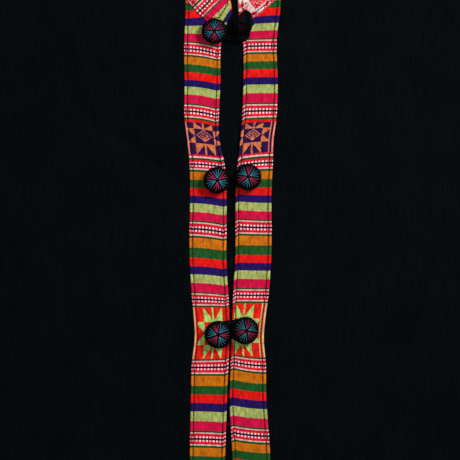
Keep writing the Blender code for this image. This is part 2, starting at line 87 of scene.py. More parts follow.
# The front edges: at each height, the ribbon band's outer and inner edge on each side
FRONT_EDGES = [
    # height, left outer, left inner, right inner, right outer
    (-310.0, -38.0, -5.0, 4.5, 37.5),
    (-187.7, -36.3, -4.3, 2.0, 36.2),
    (-135.5, -35.4, -2.6, -0.5, 32.8),
    (-104.0, -34.6, -1.4, 0.5, 32.3),
    (-77.0, -32.0, 0.0, 1.4, 30.5),
    (-36.5, -35.0, -1.7, 2.8, 35.2),
    (-20.0, -35.9, -2.8, 3.8, 36.4),
    (-0.5, -36.7, -3.2, 4.7, 37.4),
    (50.8, -36.1, -3.1, 4.9, 37.4),
    (76.0, -36.5, -4.8, 6.6, 38.5),
    (98.5, -38.7, -9.4, 9.1, 39.2),
    (118.3, -41.1, -10.0, 10.9, 41.9),
    (150.7, -41.1, -8.6, 11.8, 43.0),
    (184.0, -41.4, -8.1, 11.7, 41.9),
    (202.9, -40.7, -3.2, 9.0, 43.6),
    (214.6, -40.2, 1.6, 7.1, 45.2),
    (239.0, -40.2, -1.8, 6.8, 46.0),
    (300.0, -41.0, -1.8, 6.8, 47.0),
]
OUTER = {"left": 1, "right": 4}
INNER = {"left": 2, "right": 3}
SIGN = {"left": -1.0, "right": 1.0}

# The neck ribbon on each side. corner: where neck edge and front edge meet. start_angle: the
# neck edge's slope there. end: corners of its cut front end, from the front edge outwards.
NECK_RIBBON_WIDTH = 33.1
NECK_TURN_START = 0.55
NECK_SIDES = {
    "left": {
        "corner": (-1.8, 232.6),
        "start_angle": 45.0,
        "end": [(1.3, 217.9), (-6.6, 205.3), (-20.2, 204.3)],
    },
    "right": {
        "corner": (6.8, 238.9),
        "start_angle": 38.0,
        "end": [(7.6, 213.7), (20.3, 207.4)],
    },
}

# Folds of the upper layer, as in the solids: soft ridges, and troughs where the height is negative
FOLDS = [
    # start x, start y, end x, end y, height, half width
    (-126, 146, -46, 84, 1.7, 13),
    (-150, 136, -42, 58, -0.9, 10),
    (-142, 92, -46, 32, 1.3, 14),
    (-76, 222, -70, 120, 1.2, 14),
    (-70, -2, -72, -138, 1.5, 11),
    (-64, -150, -58, -300, 1.3, 13),
    (-154, -86, -84, -98, -0.8, 9),
    (-176, 60, -166, -150, 1.1, 17),
    (-128, -200, -118, -310, 1.9, 16),
    (-212, -170, -204, -310, 1.6, 17),
    (-232, 66, -158, -30, 1.9, 15),
    (-196, 248, -118, 176, 1.6, 16),
    (62, 214, 70, 96, 1.1, 14),
    (50, 58, 60, -6, -0.7, 9),
    (68, 76, 76, -28, 1.3, 13),
    (44, -100, 88, -196, 1.4, 13),
    (66, -214, 70, -306, 1.2, 14),
    (132, 132, 58, 92, 1.1, 14),
    (164, 40, 172, -130, 1.3, 16),
    (138, -186, 132, -310, 1.6, 15),
    (220, -150, 212, -310, 1.8, 17),
    (230, 70, 152, -18, 1.7, 16),
    (190, 250, 112, 186, 1.4, 15),
    (-278, 214, -372, 132, 1.6, 15),
    (-412, 176, -450, 76, 1.9, 14),
    (-444, 160, -498, 60, 1.5, 13),
    (-500, 112, -598, 46, 1.2, 16),
    (280, 206, 366, 146, 1.8, 16),
    (404, 182, 440, 70, 1.5, 14),
    (452, 150, 490, 72, 1.8, 14),
    (508, 100, 604, 58, 1.3, 15),
]
FOLD_END_SHARE = 0.45
REST_LIFT = 1.0
LEAST_LIFT = 0.1
MOST_LIFT = 3.3
SEWN_EDGE_FADE = 42.0
FRONT_EDGE_LIFT = 0.35
FRONT_EDGE_FADE = 40.0

# Creases of the cloth, finer than the solids' folds and uneven in length, depth and spacing.
# Their ends fade over a share of their length, and they fade out beside the bands.
CREASES = [
    # start x, start y, end x, end y, height, half width
    (-146, 132, -92, 98, -0.75, 5),
    (-104, 108, -44, 60, -0.85, 4.5),
    (-128, 130, -60, 86, 0.55, 6),
    (-96, 84, -48, 44, 0.45, 5),
    (-54, 224, -50, 132, -0.7, 6.5),
    (-62, 200, -66, 150, 0.4, 5),
    (-86, 180, -90, 118, 0.3, 7),
    (-70, 0, -66, -48, -0.5, 3.6),
    (-62, -8, -60, -62, 0.45, 3.8),
    (-78, -30, -84, -96, -0.4, 4.5),
    (-63, -70, -60, -140, -0.6, 4),
    (-70, -96, -74, -176, 0.45, 4.5),
    (-54, -120, -50, -200, -0.7, 5),
    (-86, -140, -92, -220, 0.5, 6),
    (-60, -204, -54, -306, -0.75, 6),
    (-78, -230, -72, -308, 0.5, 5.5),
    (-152, -88, -112, -96, -0.55, 4),
    (-140, -76, -96, -84, 0.35, 5),
    (-122, 24, -104, -60, 0.3, 8),
    (-160, 96, -196, 30, -0.5, 6),
    (-222, 50, -176, -4, -0.6, 5),
    (-240, 40, -206, -40, 0.5, 6),
    (-206, 230, -150, 186, -0.5, 5.5),
    (-226, 196, -186, 120, 0.45, 7),
    (-150, -214, -146, -306, -0.6, 6),
    (-186, -190, -190, -306, 0.5, 7),
    (-236, -120, -230, -240, -0.45, 6.5),
    (-100, 282, -118, 222, 0.4, 6),
    (-80, 262, -72, 226, -0.35, 5),
    (52, 204, 56, 128, -0.45, 5),
    (64, 190, 70, 120, 0.4, 6),
    (47, 62, 52, 4, -0.7, 3.8),
    (57, 46, 62, -18, 0.45, 4.5),
    (68, 20, 78, -40, -0.35, 5),
    (48, -108, 66, -156, -0.75, 4.2),
    (60, -128, 76, -196, -0.5, 4),
    (74, -120, 90, -190, 0.45, 5),
    (56, -170, 62, -240, 0.4, 5),
    (74, -206, 80, -306, -0.6, 6),
    (52, -240, 54, -306, -0.5, 5),
    (128, 126, 78, 98, -0.4, 5),
    (108, 60, 98, -30, 0.3, 8),
    (122, -60, 128, -150, -0.3, 7),
    (150, -190, 148, -306, -0.55, 6),
    (186, -160, 184, -306, 0.5, 7),
    (234, -100, 238, -230, -0.5, 6),
    (222, 54, 172, 2, -0.6, 5),
    (242, 36, 208, -44, 0.5, 6.5),
    (200, 236, 146, 190, -0.5, 5.5),
    (228, 204, 190, 124, 0.45, 7),
    (104, 278, 116, 224, 0.35, 6),
    (-268, 236, -330, 188, -0.5, 6),
    (-272, 150, -340, 118, 0.5, 7),
    (-384, 190, -402, 120, 0.5, 6),
    (-424, 158, -440, 92, -0.7, 4.5),
    (-430, 176, -470, 116, 0.5, 5),
    (-462, 142, -486, 84, -0.6, 4.5),
    (-496, 132, -536, 90, 0.45, 6),
    (-540, 96, -606, 56, -0.4, 6),
    (-300, 92, -372, 66, -0.45, 6),
    (270, 230, 338, 190, -0.55, 6),
    (276, 144, 344, 116, 0.45, 7),
    (380, 196, 398, 124, 0.45, 6),
    (420, 164, 432, 88, -0.65, 4.5),
    (434, 170, 462, 110, 0.5, 5),
    (468, 138, 484, 90, -0.6, 4.5),
    (504, 126, 548, 88, 0.45, 6),
    (536, 92, 610, 62, -0.4, 6),
    (306, 88, 380, 68, -0.45, 6),
]
CREASE_END = 0.06
CREASE_FADE = 9.0
CREASE_WANDER = 3.5
WANDER_SIZE = 38.0
NOISE_CELLS = 64
FINE_FADE = 0.3 * SEWN_EDGE_FADE
BAND_SEAM_HEIGHT = 0.6
BAND_SEAM_START = 1.5
BAND_SEAM_PLACE = 3.5
BAND_SEAM_HALF_WIDTH = 4.0

# Finer shells: thickness of what shows, the spacing of their points, and their turned edges
SHELL = 1.0
SLEEVE_SHELL = 0.8
GRID_STEP = 3.2
BACK_GRID_STEP = 6.0
BACK_NECK_POINTS = 24
FRONT_NECK_POINTS = 40
EDGE_ROUNDING = 0.32
EDGE_SEGMENTS = 2
EDGE_ANGLE = math.radians(60.0)
HEM_DEPTH = 21.0
HEM_RISE = 0.35
HEM_STEP = 2.0
SLEEVE_EDGE = 1.6
SLEEVE_FINE_FADE = 12.0
SLEEVE_HEM_FADE = 6.0
SLEEVE_FOLD_TURNS = (0.0, 30.0, 60.0)
RIPPLES = [(17.0, 0.16), (8.0, 0.10)]
RIPPLE_SEED = 3
SEAM_ROLL_HEIGHT = 1.35
SEAM_ROLL_RADII = (0.9, 1.3)
SEAM_ROLL_SIDES = 8

# Woven ribbon: threads, margins and stitch lines
THREAD_STEP = 0.765
DOT_THREADS = 2
ROW_STEP = 0.8
STAR_ROW_STEP = 0.62
REGULAR_COLUMNS = 35
FREE_COLUMNS = 9
LEAST_COLUMN = 0.3
RIBBON_SINK = 0.05
RIBBON_RISE = SEAM_GAP + RIBBON - RIBBON_SINK
MARGIN = 3.0
MARGIN_PUFF = 0.22
GROOVE_DEPTH = 0.38
GROOVE_HALF_WIDTH = 0.75
# Painted shade darkens the stitched grooves, and painted light brightens the puffed margins as if
# they faced the light
GROOVE_PAINTED_SHADE = 0.6
GROOVE_PAINTED_SHADE_HALF_WIDTH = 0.6
MARGIN_PAINTED_LIGHT = 1.12
WEAVE_SEED = 11
EDGE_CURL = {"left": 1.4, "right": -1.8}
RIBBON_ROLL_STEPS = (0.0, 0.25, 0.6)
RIBBON_ROLL_RISES = (0.08, 0.82, 1.0)
RIBBON_OVER_RIBBON = 1.3
BAND_STEP_REACH = 4.0
BAND_TUCK = 8.0
NECK_ROWS = 60
NECK_EDGE_WRAP = (0.0, 1.2)
STRIP_SETTLE = 8.0
END_MARGIN = 4.5
HEM_STRIPE_SETTLE = 12.0

# How each band's cross stripes lie: drop is how much lower they are at the inner edge, and
# rise is how much higher the right band's stripes are than the left one's, at the outer edge
STRIPE_LEVELS = [
    # height on the left band, left drop, right rise, right drop
    (-310.0, 1.0, 2.2, -3.0),
    (-185.9, 1.1, 2.6, -3.6),
    (-153.5, 1.3, 2.1, -3.8),
    (-113.5, 0.2, 1.7, -4.6),
    (-98.6, -0.7, 1.5, -3.2),
    (-51.8, 0.5, 3.6, -0.2),
    (-37.9, 2.7, 3.4, -0.5),
    (-22.1, 3.0, 3.1, -0.6),
    (10.8, 3.6, 1.4, -0.7),
    (41.8, 3.9, 0.2, -1.6),
    (69.7, 3.2, 0.8, 2.6),
    (85.9, 2.8, 1.8, 3.0),
    (115.6, 4.6, 0.2, 1.4),
    (131.8, 5.0, 0.7, 0.2),
    (159.7, 4.3, 2.8, 0.3),
    (173.7, 4.8, 2.5, 0.4),
    (187.6, 5.2, 2.9, 0.8),
    (201.5, -2.5, 2.8, 2.6),
    (208.3, -7.0, 2.7, 4.0),
    (240.0, -7.0, 2.5, 4.0),
]
DROP = {"left": 1, "right": 3}
RIGHT_RISE = 2

DYES = {
    # as sRGB values
    "red": (234, 25, 22),
    "crimson": (214, 17, 68),
    "bright_crimson": (232, 20, 50),
    "navy": (28, 20, 94),
    "black_navy": (14, 10, 48),
    "lime": (170, 183, 102),
    "green": (22, 87, 37),
    "dark_green": (14, 72, 28),
    "orange": (208, 114, 18),
    "white": (220, 192, 182),
    "dot_white": (242, 236, 230),
    "purple": (42, 20, 70),
    "apricot": (224, 122, 72),
    "rose": (232, 128, 112),
    "star_red": (236, 34, 24),
    "star_lime": (176, 222, 116),
    "white_star_red": (228, 26, 40),
    "pale_green": (214, 186, 128),
    "star_white": (238, 214, 210),
    "pink": (214, 92, 100),
    "teal": (76, 170, 198),
    "button_pink": (236, 62, 108),
    "button_black": (4, 5, 9),
    "stitch": (44, 12, 18),
}

# Lines of the dotted group between the colour runs: dye and share of its height
DOTTED_GROUP = [
    ("dark_green", 1.5),
    ("white", 1.1),
    ("bright_crimson", 2.5),
    ("dots", 1.6),
    ("black_navy", 1.7),
    ("dots", 1.6),
    ("bright_crimson", 2.3),
    ("white", 1.2),
    ("dark_green", 1.8),
]
# The same group where it follows the purple star
STAR_GROUP = [
    ("bright_crimson", 2.0),
    ("white", 1.8),
    ("dark_green", 2.1),
    ("bright_crimson", 2.1),
    ("dots", 1.5),
    ("black_navy", 1.8),
    ("dots", 1.5),
    ("bright_crimson", 1.9),
    ("white", 1.5),
    ("dark_green", 2.1),
]
RUN_ORDER = ["orange", "green", "red", "navy", "lime", "crimson"]
GROUPS = {"group": DOTTED_GROUP, "star_group": STAR_GROUP}

# Stars: dyes of the ground, the star and the lines beside it, and the shares of its height
# that the top, middle and bottom rows take
STARS = {
    "purple_star": ("purple", "apricot", "rose", (6.0, 14.7, 11.4)),
    "red_star": ("star_red", "star_lime", "pale_green", (15.0, 23.5, 14.4)),
    "white_star": ("white_star_red", "star_white", "pink", (12.0, 24.0, 12.0)),
    "neck_star": ("white_star_red", "star_white", "pink", (13.4, 23.0, 12.0)),
}
STAR_ROWS = [(-2.0, -1.0), (-1.0, 1.0), (1.0, 2.0)]
STAR_CELL = 8.28
STAR_ARM_END = 1.76
STAR_RAY = 0.09
STAR_RAGGED = 0.02
STAR_MISSED = 0.012
# Share of light threads that show in the ground of the stars that have them
STAR_FLECKS = {"white_star": 0.13, "neck_star": 0.17}
DIAMOND_MIDDLE = -0.1
DIAMOND_SIZE = 0.84
DIAMOND_OUTLINE = 0.84
DIAMOND_RINGS = [(0.38, 0.58), (0.0, 0.13)]
DIAMOND_FILL = 0.36
STAR_MIDDLES = {
    # distance of each star's middle from the ribbon's outer edge
    "band left": {"purple_star": 16.1, "red_star": 17.8, "white_star": 17.0},
    "band right": {"purple_star": 19.4, "red_star": 19.6, "white_star": 18.4},
    "neck left": {"white_star": 15.6},
    "neck right": {"neck_star": 13.4},
}
STAR_LINES = {
    # where the lines beside the stars start and end, from the ribbon's outer edge
    "band left": [(0.3, 1.7)],
    "band right": [(0.0, 1.5), (3.4, 4.6)],
    "neck left": [(0.2, 1.0)],
    "neck right": [(0.2, 1.0)],
}

# The ribbons from one end to the other: what is woven, and its size or its six colours' sizes
BAND_TOP = 289.8
BAND_PANELS = [
    ("run", (7.8, 7.8, 7.8, 7.8, 7.8, 7.8)),
    ("group", 14.2),
    ("run", (7.2, 6.8, 6.8, 6.9, 6.8, 6.9)),
    ("group", 13.9),
    ("run", (6.8, 7.2, 6.8, 6.1, 7.2, 7.8)),
    ("group", 14.4),
    ("red", 2.5),
    ("purple_star", 29.0),
    ("star_group", 15.7),
    ("run", (7.2, 7.4, 7.0, 6.8, 7.8, 7.5)),
    ("group", 15.7),
    ("run", (9.0, 9.0, 7.7, 7.2, 7.7, 8.1)),
    ("group", 13.9),
    ("red_star", 46.8),
    ("group", 14.9),
    ("run", (9.0, 7.7, 7.7, 7.6, 8.8, 8.4)),
    ("group", 15.3),
    ("run", (7.7, 7.8, 7.7, 7.6, 8.4, 8.3)),
    ("group", 14.4),
    ("white_star", 46.8),
    ("group", 14.5),
    ("orange", 9.0),
]
NECK_PANELS = {
    "left": [
        ("lime", 8.6),
        ("crimson", 5.6),
        ("group", 13.6),
        ("white_star", 44.0),
        ("group", 13.6),
        ("orange", 8.0),
        ("green", 8.0),
        ("red", 8.0),
    ],
    "right": [
        ("neck_star", 48.4),
        ("group", 13.6),
        ("orange", 8.0),
        ("green", 8.0),
        ("red", 8.0),
        ("navy", 7.5),
        ("lime", 8.0),
    ],
}

# Stitches: short threads in a line, each one dipping into the cloth at its ends
STITCH_LENGTH = 2.85
STITCH_PITCH = 3.1
STITCH_RADIUS = 0.42
STITCH_RINGS = [
    # share of its length, share of its radius, height
    (0.0, 0.05, -0.35),
    (0.12, 0.85, -0.05),
    (0.5, 1.0, 0.05),
    (0.88, 0.85, -0.05),
    (1.0, 0.05, -0.35),
]
STITCH_SIDES = 6
STITCH_SIT = 0.2
STITCH_HEIGHT = RIBBON_RISE - GROOVE_DEPTH + STITCH_SIT
STITCH_LINE_STEP = STITCH_PITCH / 3
HEM_STITCH_RADIUS = 0.22
HEM_STITCH_INSET = 1.5
HEM_STITCH_FIRST = 2.0
HEM_STITCH_END = 4.0
HEM_LINE_STEP = 1.0

# Buttons: a domed disc wound with thread, on a stem. The profiles have each place's radius
# and its height above the disc's back.
BUTTON_PROFILE = [(0.0, 6.75), (5.0, 6.35), (8.8, 5.4), (11.2, 3.9), (12.0, 2.4)]
BUTTON_RADIUS = 12.0
BUTTON_UNDERSIDE = [(11.7, 1.1), (10.5, 0.35), (7.8, 0.1), (0.0, 0.0)]
BUTTON_RINGS = 14
BUTTON_PLEATS = 44
PLEAT_DEPTH = 0.13
PLEAT_POINTS = 4
PLEAT_FADE = (1.5, 6.0)
PLEAT_RIM_SHARE = 0.97
THREAD_GROUPS = [
    # dye and number of the threads, in order round the button
    ("teal", 4),
    ("button_pink", 3),
    ("teal", 4),
    ("button_pink", 4),
    ("teal", 4),
    ("button_pink", 3),
]
THREAD_FIRST_ANGLE = 114.5
THREAD_SIT = 0.16
THREAD_ROOT = 1.8
THREAD_END = 10.5
THREAD_SHORTER = 0.18
THREAD_LEAN = 1.6
THREAD_RADIUS = 0.17
# Where a thread's thickness starts in a half wave, and how much of it it runs over
THREAD_TAPER = (0.12, 0.82)
THREAD_POINTS = 9
THREAD_SEED = 5
STEM_RADIUS = 1.45
STEM_ROOM = 5.0
STEM_BEND = 0.35
STEM_POINTS = 33
STEM_WINDINGS = 8
STEM_GROOVE = 0.1
STEM_SIDES = 14
BUTTONS = [
    # name, x, y, tip about X, tip about Y, foot x, foot y, height of the back, turn of the
    # threads, size, and the threads' dimming: their own duller tone, with painted shade on the
    # top right button, whose face is turned from the light
    ("top_left", -13.9, 195.8, 1.0, -2.0, -13.8, 195.9, None, 0.0, 0.96, 0.8),
    ("top_right", 15.5, 202.3, -2.0, -60.0, 20.5, 203.0, 13.2, 45.0, 0.98, 0.12),
    ("middle_left", -12.1, 62.1, 1.0, 6.0, -11.8, 62.0, None, 0.0, 1.0, 1.0),
    ("middle_right", 16.2, 64.6, -6.0, 1.0, 16.6, 64.9, None, 50.0, 1.0, 0.9),
    ("bottom_left", -10.6, -76.3, 1.0, 1.0, -10.6, -76.3, None, -38.0, 1.04, 0.9),
    ("bottom_right", 13.1, -72.6, 1.0, 14.0, 13.4, -72.7, 7.6, 45.0, 1.04, 0.7),
]

# Loops: turns of cord side by side round a long ring, each one twisted from strands
LOOPS = [
    # name, left end x, left end y, right end x, right end y, width over the cords, slot width,
    # turns of cord
    ("top", -13.8, 195.9, 11.5, 193.6, 13.4, 3.8, 2),
    ("middle", -11.8, 62.0, 16.6, 64.9, 15.6, 4.0, 2),
    ("bottom", -10.6, -73.9, 13.4, -70.3, 17.8, 8.6, 3),
]
# How many cords wide the solid's ring is without its slot, counting both of its sides
CORDS_ACROSS = 4
CORD_STRANDS = 3
STRAND_SHARE = 0.54
CORD_TWIST = 5.5
CORD_STEP = 0.7
CORD_SIDES = 7
RING_END_POINTS = 40

# Finishes, as linear colours
COTTON_COLOUR = (0.0021, 0.0033, 0.0044)
COTTON_SHEEN_TINT = (0.75, 0.85, 1.0)
CORD_COLOUR = (0.0018, 0.0022, 0.0030)
WARP_COLOUR = (0.13, 0.020, 0.018)
FLOOR_COLOUR = (0.78, 0.78, 0.77)

# Roughness, sheen, its roughness and specular level
COTTON_FINISH = (0.9, 0.008, 0.45, 0.012)
RIBBON_FINISH = (0.85, 0.015, 0.5, 0.04)
BUTTON_FINISH = (0.6, 0.005, 0.4, 0.05)
THREAD_FINISH = (0.75, 0.015, 0.5, 0.04)
FLOOR_FINISH = (0.85, 0.0, 0.5, 0.2)

# Noise on the cloth: size across it, size along it and detail, then the darkest and the
# lightest of a shade, or the depth of a relief
COTTON_SHADES = [(1.7, 22.0, 3.0, 0.74, 1.28), (46.0, 60.0, 2.0, 0.84, 1.16)]
COTTON_RELIEFS = [(1.6, 18.0, 2.0, 0.09), (7.0, 9.0, 3.0, 0.36)]
RIBBON_SHADES = [(2.6, 6.0, 3.0, 0.6, 1.4), (9.0, 14.0, 2.0, 0.88, 1.12)]
RIBBON_RELIEF = (3.5, 3.5, 2.0, 0.12)
WARP_SHOWS = (1.5, 2.6, 2.0, -0.42, 0.42)
BUTTON_SHADE = (0.5, 0.5, 2.0, 0.8, 1.2)
BUTTON_RELIEF = (0.3, 0.3, 2.0, 0.06)
THREAD_SHADE = (0.6, 0.6, 2.0, 0.75, 1.25)
THREAD_RELIEF = (0.35, 0.35, 2.0, 0.08)
NOISE_LOW, NOISE_HIGH = 0.25, 0.75

# Even ribs of the weaves, and the floor's grain
COTTON_WEAVE = 0.55
COTTON_WEAVE_DEPTH = 0.05
WARP_DEPTH = 0.07
WEFT_DEPTH = 0.09
RIB_WANDER = 0.6
RIB_WANDER_SCALE = 0.2
WAVE_UNIT = 0.314
FLOOR_GRAIN = 90.0
FLOOR_SHADES = (0.97, 1.03)

# Camera and light. The lights' places and sizes and the clipping are in metres.
VIEW_WIDTH = 414.0
VIEW_MIDDLE = (0.0, 17.5, 4.0)
LENS = 200.0
SENSOR = 36.0
CLIP_START, CLIP_END = 0.01, 50.0
KEY_PLACE = (0.95, 0.85, 1.4)
KEY_SIZE = 0.5
KEY_POWER = 30.5
FILL_PLACE = (-0.12, 0.0, 0.8)
FILL_SIZE = 0.5
FILL_POWER = 1.6
WORLD_LIGHT = 0.12
FLOOR_HALF_SIZE = 6000.0
FLOOR_DROP = 0.4


def linear(name):
    """A dye as the linear colour that a shader takes."""
    share = np.array(DYES[name]) / 255
    return np.where(share <= 0.04045, share / 12.92, ((share + 0.055) / 1.055) ** 2.4)


def smooth_step(value, low, high):
    t = np.clip((value - low) / (high - low), 0.0, 1.0)
    return t * t * (3 - 2 * t)


def bell(distance, half_width):
    return np.exp(-((distance / half_width) ** 2))


def direction(angle):
    """The direction at an angle in degrees."""
    return np.array([math.cos(math.radians(angle)), math.sin(math.radians(angle))])


def soft_noise(x, y, size, seed):
    """Smooth random values from -1 to 1 that change over a given size."""
    values = np.random.default_rng(seed).uniform(-1.0, 1.0, (NOISE_CELLS, NOISE_CELLS))
    i, j = np.floor(x / size).astype(int), np.floor(y / size).astype(int)
    s = smooth_step(x / size - i, 0.0, 1.0)
    t = smooth_step(y / size - j, 0.0, 1.0)

    def between(row):
        low, high = (values[(i + k) % NOISE_CELLS, row % NOISE_CELLS] for k in (0, 1))
        return low * (1 - s) + high * s

    return between(j) * (1 - t) + between(j + 1) * t


def edge_at(edges, side, y):
    """Where a band's outer or inner edge is at given heights."""
    return table_value(FRONT_EDGES, edges[side], y)


def ridge_height(rows, x, y, swell):
    """Soft ridges along segments. swell gives their height at shares of their length."""
    total = np.zeros_like(x)
    for x0, y0, x1, y1, height, half_width in rows:
        distance, share = to_segment(x, y, (x0, y0), (x1, y1))
        total += height * swell(share) * bell(distance, half_width)
    return total


def table_value(rows, column, at):
    """A smooth curve through one column of a table, read at values of its first column."""
    rows = np.array(sorted(rows))
    base, value = rows[:, 0], rows[:, column]
    count = len(base)
    low = np.maximum(np.arange(count) - 1, 0)
    high = np.minimum(np.arange(count) + 1, count - 1)
    slope = (value[high] - value[low]) / (base[high] - base[low])
    at = np.clip(np.asarray(at, float), base[0], base[-1])
    k = np.clip(np.searchsorted(base, at, side="right") - 1, 0, count - 2)
    span = base[k + 1] - base[k]
    t = (at - base[k]) / span
    return (
        (2 * t**3 - 3 * t**2 + 1) * value[k]
        + (t**3 - 2 * t**2 + t) * span * slope[k]
        + (3 * t**2 - 2 * t**3) * value[k + 1]
        + (t**3 - t**2) * span * slope[k + 1]
    )


def to_segment(x, y, start, end):
    """Distance from points to a segment, and how far along the segment their feet are."""
    along = np.subtract(end, start)
    share = ((x - start[0]) * along[0] + (y - start[1]) * along[1]) / (along @ along)
    share = np.clip(share, 0.0, 1.0)
    return np.hypot(x - start[0] - share * along[0], y - start[1] - share * along[1]), share


def fold_height(x, y):
    def swell(share):
        return FOLD_END_SHARE + (1 - FOLD_END_SHARE) * np.sin(np.pi * share)

    return ridge_height(FOLDS, x, y, swell)


def crease_height(x, y):
    """The finer creases, whose lines wander and whose ends run out softly."""

    def swell(share):
        return np.sin(np.pi * (CREASE_END + (1 - 2 * CREASE_END) * share))

    moved_x = x + CREASE_WANDER * soft_noise(x, y, WANDER_SIZE, 1)
    moved_y = y + CREASE_WANDER * soft_noise(x, y, WANDER_SIZE, 2)
    return ridge_height(CREASES, moved_x, moved_y, swell)


def ripples(x, y):
    """The soft unevenness of washed cotton between its creases."""
    return sum(
        height * soft_noise(x, y, size, seed)
        for seed, (size, height) in enumerate(RIPPLES, RIPPLE_SEED)
    )


def body_corners(side):
    """The body's corners on one side, from the neck point to the hem."""
    corners = [NECK_POINT, SHOULDER_END, UNDERARM, (HEM_HALF_WIDTH, HEM_Y)]
    return [(SIGN[side] * x, y) for x, y in corners]


def to_sewn_edge(x, y, side):
    corners = body_corners(side)
    return np.min([to_segment(x, y, a, b)[0] for a, b in zip(corners, corners[1:])], axis=0)


def past_band(x, y, side):
    """How far a place is outside its band's outer edge; negative on the band."""
    return SIGN[side] * (x - edge_at(OUTER, side, y))


def layer_lift(rest, x, y, fade):
    """How far the upper layer is raised by how it rests and by its folds."""
    return np.clip((rest + fold_height(x, y)) * fade, LEAST_LIFT * fade, MOST_LIFT)


def hem_height(from_edge):
    """The step up to a turned hem."""
    return HEM_RISE * (1 - smooth_step(from_edge, HEM_DEPTH - HEM_STEP, HEM_DEPTH))


def front_top(x, y, side):
    """Height of a front panel's outer face."""
    from_sewn_edge = to_sewn_edge(x, y, side)
    open_fade = smooth_step(abs(x - edge_at(INNER, side, y)), 0.0, FRONT_EDGE_FADE)
    rest = FRONT_EDGE_LIFT + (REST_LIFT - FRONT_EDGE_LIFT) * open_fade
    lift = layer_lift(rest, x, y, smooth_step(from_sewn_edge, 0.0, SEWN_EDGE_FADE))
    outside = past_band(x, y, side)
    fine = crease_height(x, y) * smooth_step(outside, 0.0, CREASE_FADE) + ripples(x, y)
    seam = BAND_SEAM_HEIGHT * bell(outside - BAND_SEAM_PLACE, BAND_SEAM_HALF_WIDTH)
    fine += seam * smooth_step(outside, -BAND_SEAM_START, BAND_SEAM_START)
    fine_fade = smooth_step(from_sewn_edge, 0.0, FINE_FADE)
    return LAYERS + lift + (fine + hem_height(y - HEM_Y)) * fine_fade


def neck_curve(side, count):
    """The neck edge of one front, from the front corner to the neck point at the shoulder."""
    start = np.array(NECK_SIDES[side]["corner"])
    end = np.array([SIGN[side] * NECK_POINT[0], NECK_POINT[1]])
    heading = direction(NECK_SIDES[side]["start_angle"]) * [SIGN[side], 1.0]
    middle = start + heading * np.linalg.norm(end - start) * 0.5
    t = np.linspace(0.0, 1.0, count)[:, None]
    return (1 - t) ** 2 * start + 2 * t * (1 - t) * middle + t**2 * end


def running_sum(values):
    return np.concatenate([[0.0], np.cumsum(values)])


def distances(points):
    """How far each point of a line is from the line's start, along it."""
    return running_sum(np.linalg.norm(np.diff(points, axis=0), axis=1))


def at_distances(values, length, at):
    """The values of a line's points, read between them at distances from its start."""
    return np.stack([np.interp(at, length, column) for column in values.T], axis=-1)


def unit(rows):
    """Rows of numbers, each scaled to be a direction of length 1."""
    return rows / np.linalg.norm(rows, axis=1)[:, None]


def directions(path, closed=False):
    """The direction of a path at each of its points."""
    if closed:
        return unit(np.roll(path, -1, axis=0) - np.roll(path, 1, axis=0))
    return unit(np.gradient(path, axis=0))


def with_constant(values, constant):
    """Points whose last coordinate is the same for all of them."""
    return np.column_stack([values, np.full(len(values), constant)])


def patch_between(bottom, top, left, right):
    """A grid of places between four edges. Bottom and top run across, left and right upwards."""
    u = np.linspace(0.0, 1.0, len(bottom))[None, :, None]
    v = np.linspace(0.0, 1.0, len(left))[:, None, None]
    return (
        (1 - v) * bottom[None]
        + v * top[None]
        + (1 - u) * left[:, None]
        + u * right[:, None]
        - (1 - u) * (1 - v) * bottom[0]
        - u * (1 - v) * bottom[-1]
        - (1 - u) * v * top[0]
        - u * v * top[-1]
    )


def grid_faces(rows, columns, closed=False):
    """Quads between rows of points. A closed grid's last column meets its first."""
    r, c = np.meshgrid(np.arange(rows - 1), np.arange(columns - (not closed)), indexing="ij")
    after = (c + 1) % columns
    faces = np.stack([r * columns + c, r * columns + after], axis=-1)
    faces = np.concatenate([faces, faces[..., ::-1] + columns], axis=-1)
    return faces.reshape(-1, 4)


def make_mesh(name, points, faces, material, places=None, colours=None):
    """An object from points in millimetres. places are each point's place on the cut cloth,
    which is where it lies if none are given."""
    mesh = bpy.data.meshes.new(name)
    points, faces = np.asarray(points, float).reshape(-1, 3), np.asarray(faces)
    places = points[:, :2] if places is None else np.asarray(places, float).reshape(-1, 2)
    mesh.from_pydata((points * MM).tolist(), [], faces.tolist())
    mesh.update()
    corners = np.zeros(len(mesh.loops), int)
    mesh.loops.foreach_get("vertex_index", corners)
    layer = mesh.uv_layers.new(name="cut")
    layer.uv.foreach_set("vector", places[corners].ravel())
    if colours is not None:
        layer = mesh.color_attributes.new("dye", "FLOAT_COLOR", "CORNER")
        each = np.repeat(np.asarray(colours, float).reshape(-1, 3), faces.shape[1], axis=0)
        layer.data.foreach_set("color", with_constant(each, 1.0).ravel())
    mesh.polygons.foreach_set("use_smooth", np.ones(len(faces), bool))
    mesh.materials.append(material)
    return placed(bpy.data.objects.new(name, mesh))


def placed(item):
    bpy.context.scene.collection.objects.link(item)
    return item


def belongs(item, slot, *nodes):
    """The piece rides on the jacket and stands for solids, which it hides. slot is not used."""
    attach(item, BODY)
    if nodes:
        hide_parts(*nodes)
    return item


def make_cloth(node, points, faces, places, thickness, bottom=False):
    """A cotton panel that stands for a solid. It gets its thickness downwards from its outer
    face, or upwards if it is the bottom one, and rounded rims."""
    item = make_mesh(f"cloth_{node}", points, faces, MATERIALS["cotton"], places)
    solid = item.modifiers.new("thickness", "SOLIDIFY")
    solid.thickness = thickness * MM
    solid.offset = 1.0 if bottom else -1.0
    rim = item.modifiers.new("rounded rims", "BEVEL")
    rim.width = EDGE_ROUNDING * MM
    rim.segments = EDGE_SEGMENTS
    rim.limit_method = "ANGLE"
    rim.angle_limit = EDGE_ANGLE
    return belongs(item, "black_cotton", node)


# Cloth panels


